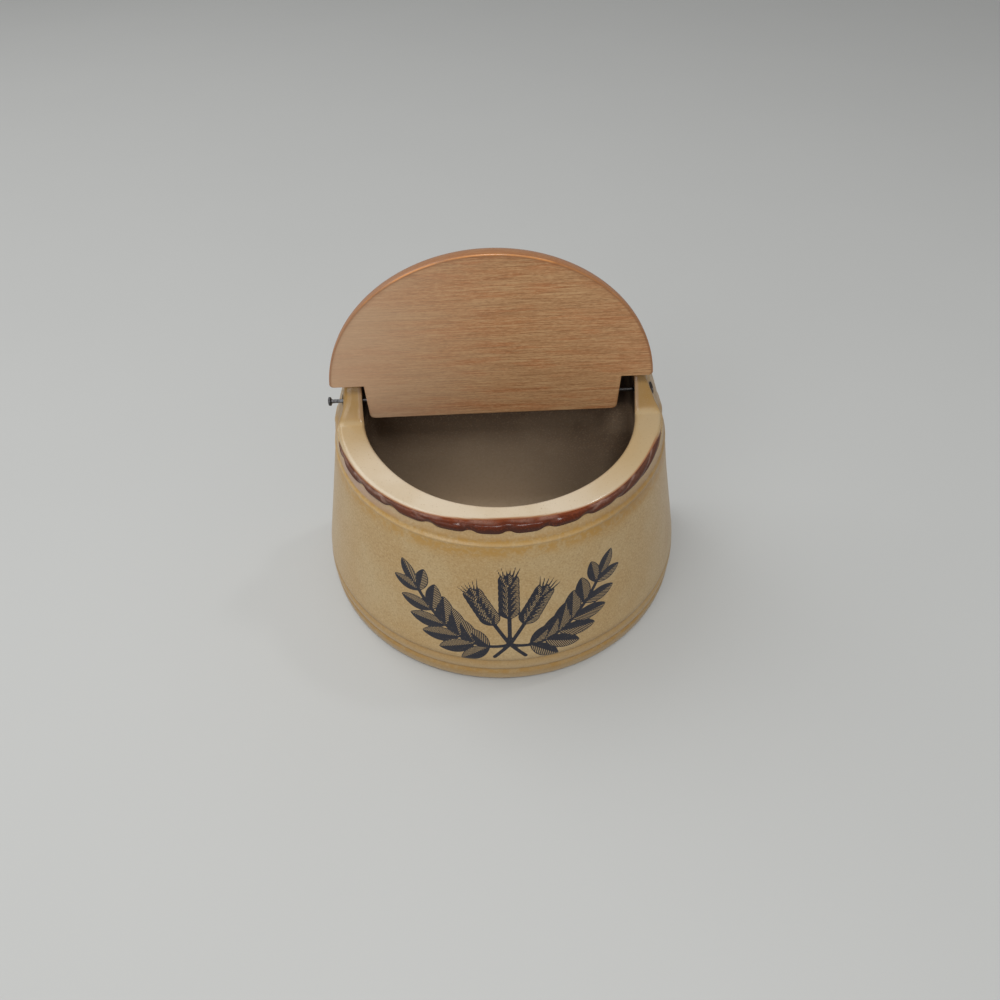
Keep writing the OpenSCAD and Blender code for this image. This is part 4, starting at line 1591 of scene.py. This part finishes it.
def nail_profile(s, total):
    """Places along a nail, its radius and its soot there: domed head, grooved neck, shank and point."""
    turn = np.linspace(0, math.pi / 2, NAIL_ROUND_STEPS)
    head_r = s.head_d / 2
    shank_r = s.shank_d / 2
    face = np.linspace(*FACE_SPAN, FACE_STEPS) * (head_r - s.head_round)
    crown = np.concatenate([HEAD_DOME * (face / head_r) ** 2, HEAD_DOME + s.head_round * (1 - np.cos(turn))])
    crown_r = np.concatenate([face, head_r - s.head_round * (1 - np.sin(turn))])
    under = np.array([s.head_t - HEAD_BEVEL, s.head_t, s.head_t + NECK_REACH])
    under_r = np.array([head_r, head_r - HEAD_BEVEL_IN, shank_r + NECK_OUT])
    grooves = np.linspace(0, GRIP_COUNT, GRIP_STEPS * GRIP_COUNT)
    grip = s.head_t + GRIP_GAP + grooves * s.grip_step
    wave = (1 - np.cos(2 * math.pi * grooves)) / 2
    shank = np.linspace(grip[-1] + s.grip_step, total - s.point, SHANK_STEPS)
    point = total - s.point + s.point * POINT_ALONG
    along = np.concatenate([crown, under, grip, shank, point])
    grip_r = shank_r - s.grip_depth * wave
    even_r = np.full(SHANK_STEPS, shank_r)
    radius = np.concatenate([crown_r, under_r, grip_r, even_r, shank_r * POINT_RADIUS])
    head_soot = np.full(len(crown) + len(under), HEAD_SOOT)
    soot = np.concatenate([head_soot, GRIP_SOOT * wave, np.zeros(SHANK_STEPS + len(point))])
    return along, radius, soot


class SALTBOX_OT_nails(bpy.types.Operator):
    """Make the two wire nails of the hinge"""

    bl_idname = "salt_box.nails"
    bl_label = "Hinge Nails"

    def execute(self, context):
        s = context.scene.salt_box_nails
        material = nail_material(s)
        nails = (
            ("left_hinge_nail", "left_nail", 1, 0.0),
            # The right nail's shank gets painted shade
            ("right_hinge_nail", "right_nail", -1, s.right_painted_shade),
        )
        for node, name, side, least_painted_shade in nails:
            low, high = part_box(node)
            total = high.x - low.x
            along, radius, soot = nail_profile(s, total)
            middle = (low + high) / 2
            head_x = low.x if side > 0 else high.x
            rings = lathe_x(head_x + side * along, radius, middle, NAIL_SIDES)
            rings = rings if side > 0 else rings[:, ::-1]
            poles = [(x, middle.y, middle.z) for x in (head_x, head_x + side * total)]
            piece = new_piece(name, *closed_grid(rings, *poles))
            piece.data.set_sharp_from_angle(angle=NAIL_SHARP)
            paint(piece, "groove", np.repeat(np.maximum(soot, least_painted_shade), NAIL_SIDES))
            dress(piece, "hinge_nails", "nail_steel", material, node)
        return {"FINISHED"}


# Stage

IMAGE_PX = 1000
SENSOR_MM = 36
CLIP_START = 10 * MM
FLOOR_HALF = 3.0
WHITE = (1, 1, 1, 1)

# Each lamp's place, the place that it shines at and its size; its power is the setting of its name
LAMPS = {
    "key": ((-0.7, 0.38, 1.0), (0, -0.02, 0.04), 1.0),
    "fill": ((0.05, -0.45, 0.95), (0, 0, 0.05), 0.2),
    "sheen": ((-0.55, -0.75, 0.6), (0, 0, 0.08), 0.6),
    "glint": ((0.43, 0.2, 0.95), (0, 0, 0.07), 0.08),
}


def turn_matrix(turn):
    """A turn about the third axis."""
    cosine, sine = math.cos(turn), math.sin(turn)
    return np.array([[cosine, -sine, 0], [sine, cosine, 0], [0, 0, 1]])


def placed(axes, place):
    """A matrix with the given axes and its origin at the place."""
    matrix = np.eye(4)
    matrix[:3, :3] = np.stack(axes, axis=1)
    matrix[:3, 3] = place
    return Matrix(matrix.tolist())


def camera_place(s):
    """The camera's matrix: it looks down at its elevation, with the origin at its pixel and its distance."""
    right = np.array([1, 0, 0])
    ahead = np.array([0, math.cos(s.elevation), -math.sin(s.elevation)])
    axes = np.stack([right, -np.cross(right, ahead), ahead], axis=1) @ turn_matrix(s.roll).T
    half = IMAGE_PX / 2
    ray = np.array([(s.origin_right - half) / s.focal, (s.origin_down - half) / s.focal, 1])
    place = -s.distance * ray / np.linalg.norm(ray) @ axes.T
    turn = turn_matrix(-s.yaw)
    return placed([turn @ axes[:, 0], -turn @ axes[:, 1], -turn @ axes[:, 2]], turn @ place)


def area_light(name, place, aim, size, power):
    """A square soft lamp at a place, turned to shine at the aim."""
    lamp = bpy.data.lights.new(name, "AREA")
    lamp.shape = "SQUARE"
    lamp.size = size
    lamp.energy = power
    holder = bpy.data.objects.new(name, lamp)
    bpy.context.scene.collection.objects.link(holder)
    ahead = np.subtract(aim, place)
    ahead = ahead / np.linalg.norm(ahead)
    right = np.cross(ahead, (0, 0, 1))
    right = right / np.linalg.norm(right)
    holder.matrix_world = placed([right, np.cross(right, ahead), -ahead], place)


class SALTBOX_OT_stage(bpy.types.Operator):
    """Set the camera, the lights and the pale floor"""

    bl_idname = "salt_box.stage"
    bl_label = "Stage"

    def execute(self, context):
        scene = context.scene
        s = scene.salt_box_stage
        lens = bpy.data.cameras.new("camera")
        lens.sensor_width = SENSOR_MM
        lens.lens = SENSOR_MM * s.focal / IMAGE_PX
        lens.clip_start = CLIP_START
        camera = bpy.data.objects.new("camera", lens)
        scene.collection.objects.link(camera)
        camera.matrix_world = camera_place(s)
        scene.camera = camera
        reach = FLOOR_HALF
        corners = [(-reach, -reach, 0), (reach, -reach, 0), (reach, reach, 0), (-reach, reach, 0)]
        floor = new_piece("floor", corners, [(0, 1, 2, 3)])
        floor.data.materials.append(floor_material(s))
        for name, (place, aim, size) in LAMPS.items():
            area_light(name, place, aim, size, getattr(s, name))
        world = bpy.data.worlds.new("even_light")
        world.use_nodes = True
        sky = world.node_tree.nodes["Background"]
        sky.inputs["Color"].default_value = WHITE
        sky.inputs["Strength"].default_value = s.sky
        scene.world = world
        scene.view_settings.view_transform = "Standard"
        return {"FINISHED"}


# Panel and registration


class SALTBOX_PT_panel(bpy.types.Panel):
    """Lists the pieces of the salt box and their sizes"""

    bl_idname = "SALTBOX_PT_panel"
    bl_label = "Salt Box"
    bl_space_type = "VIEW_3D"
    bl_region_type = "UI"
    bl_category = "Salt Box"

    def draw(self, context):
        for operator, groups in STEPS:
            box = self.layout.box()
            box.operator(operator.bl_idname)
            for group in groups:
                settings = getattr(context.scene, group)
                for name in settings.__annotations__:
                    box.prop(settings, name)


GROUPS = {
    "salt_box_crock": CrockSettings,
    "salt_box_print": PrintSettings,
    "salt_box_band": BandSettings,
    "salt_box_lid": LidSettings,
    "salt_box_nails": NailSettings,
    "salt_box_stage": StageSettings,
}
STEPS = (
    (SALTBOX_OT_crock, ("salt_box_crock", "salt_box_print")),
    (SALTBOX_OT_band, ("salt_box_band",)),
    (SALTBOX_OT_lid, ("salt_box_lid",)),
    (SALTBOX_OT_nails, ("salt_box_nails",)),
    (SALTBOX_OT_stage, ("salt_box_stage",)),
)
CLASSES = (*GROUPS.values(), *(operator for operator, _ in STEPS), SALTBOX_PT_panel)


def register():
    """Registers the classes and hangs the property groups on the scene."""
    for kind in CLASSES:
        bpy.utils.register_class(kind)
    for name, group in GROUPS.items():
        setattr(bpy.types.Scene, name, PointerProperty(type=group))


def unregister():
    """Takes back what register did."""
    for name in GROUPS:
        delattr(bpy.types.Scene, name)
    for kind in reversed(CLASSES):
        bpy.utils.unregister_class(kind)


def main():
    """Makes every piece and the stage."""
    register()
    bpy.ops.salt_box.crock()
    bpy.ops.salt_box.band()
    bpy.ops.salt_box.lid()
    bpy.ops.salt_box.nails()
    bpy.ops.salt_box.stage()


if __name__ == "__main__":
    main()
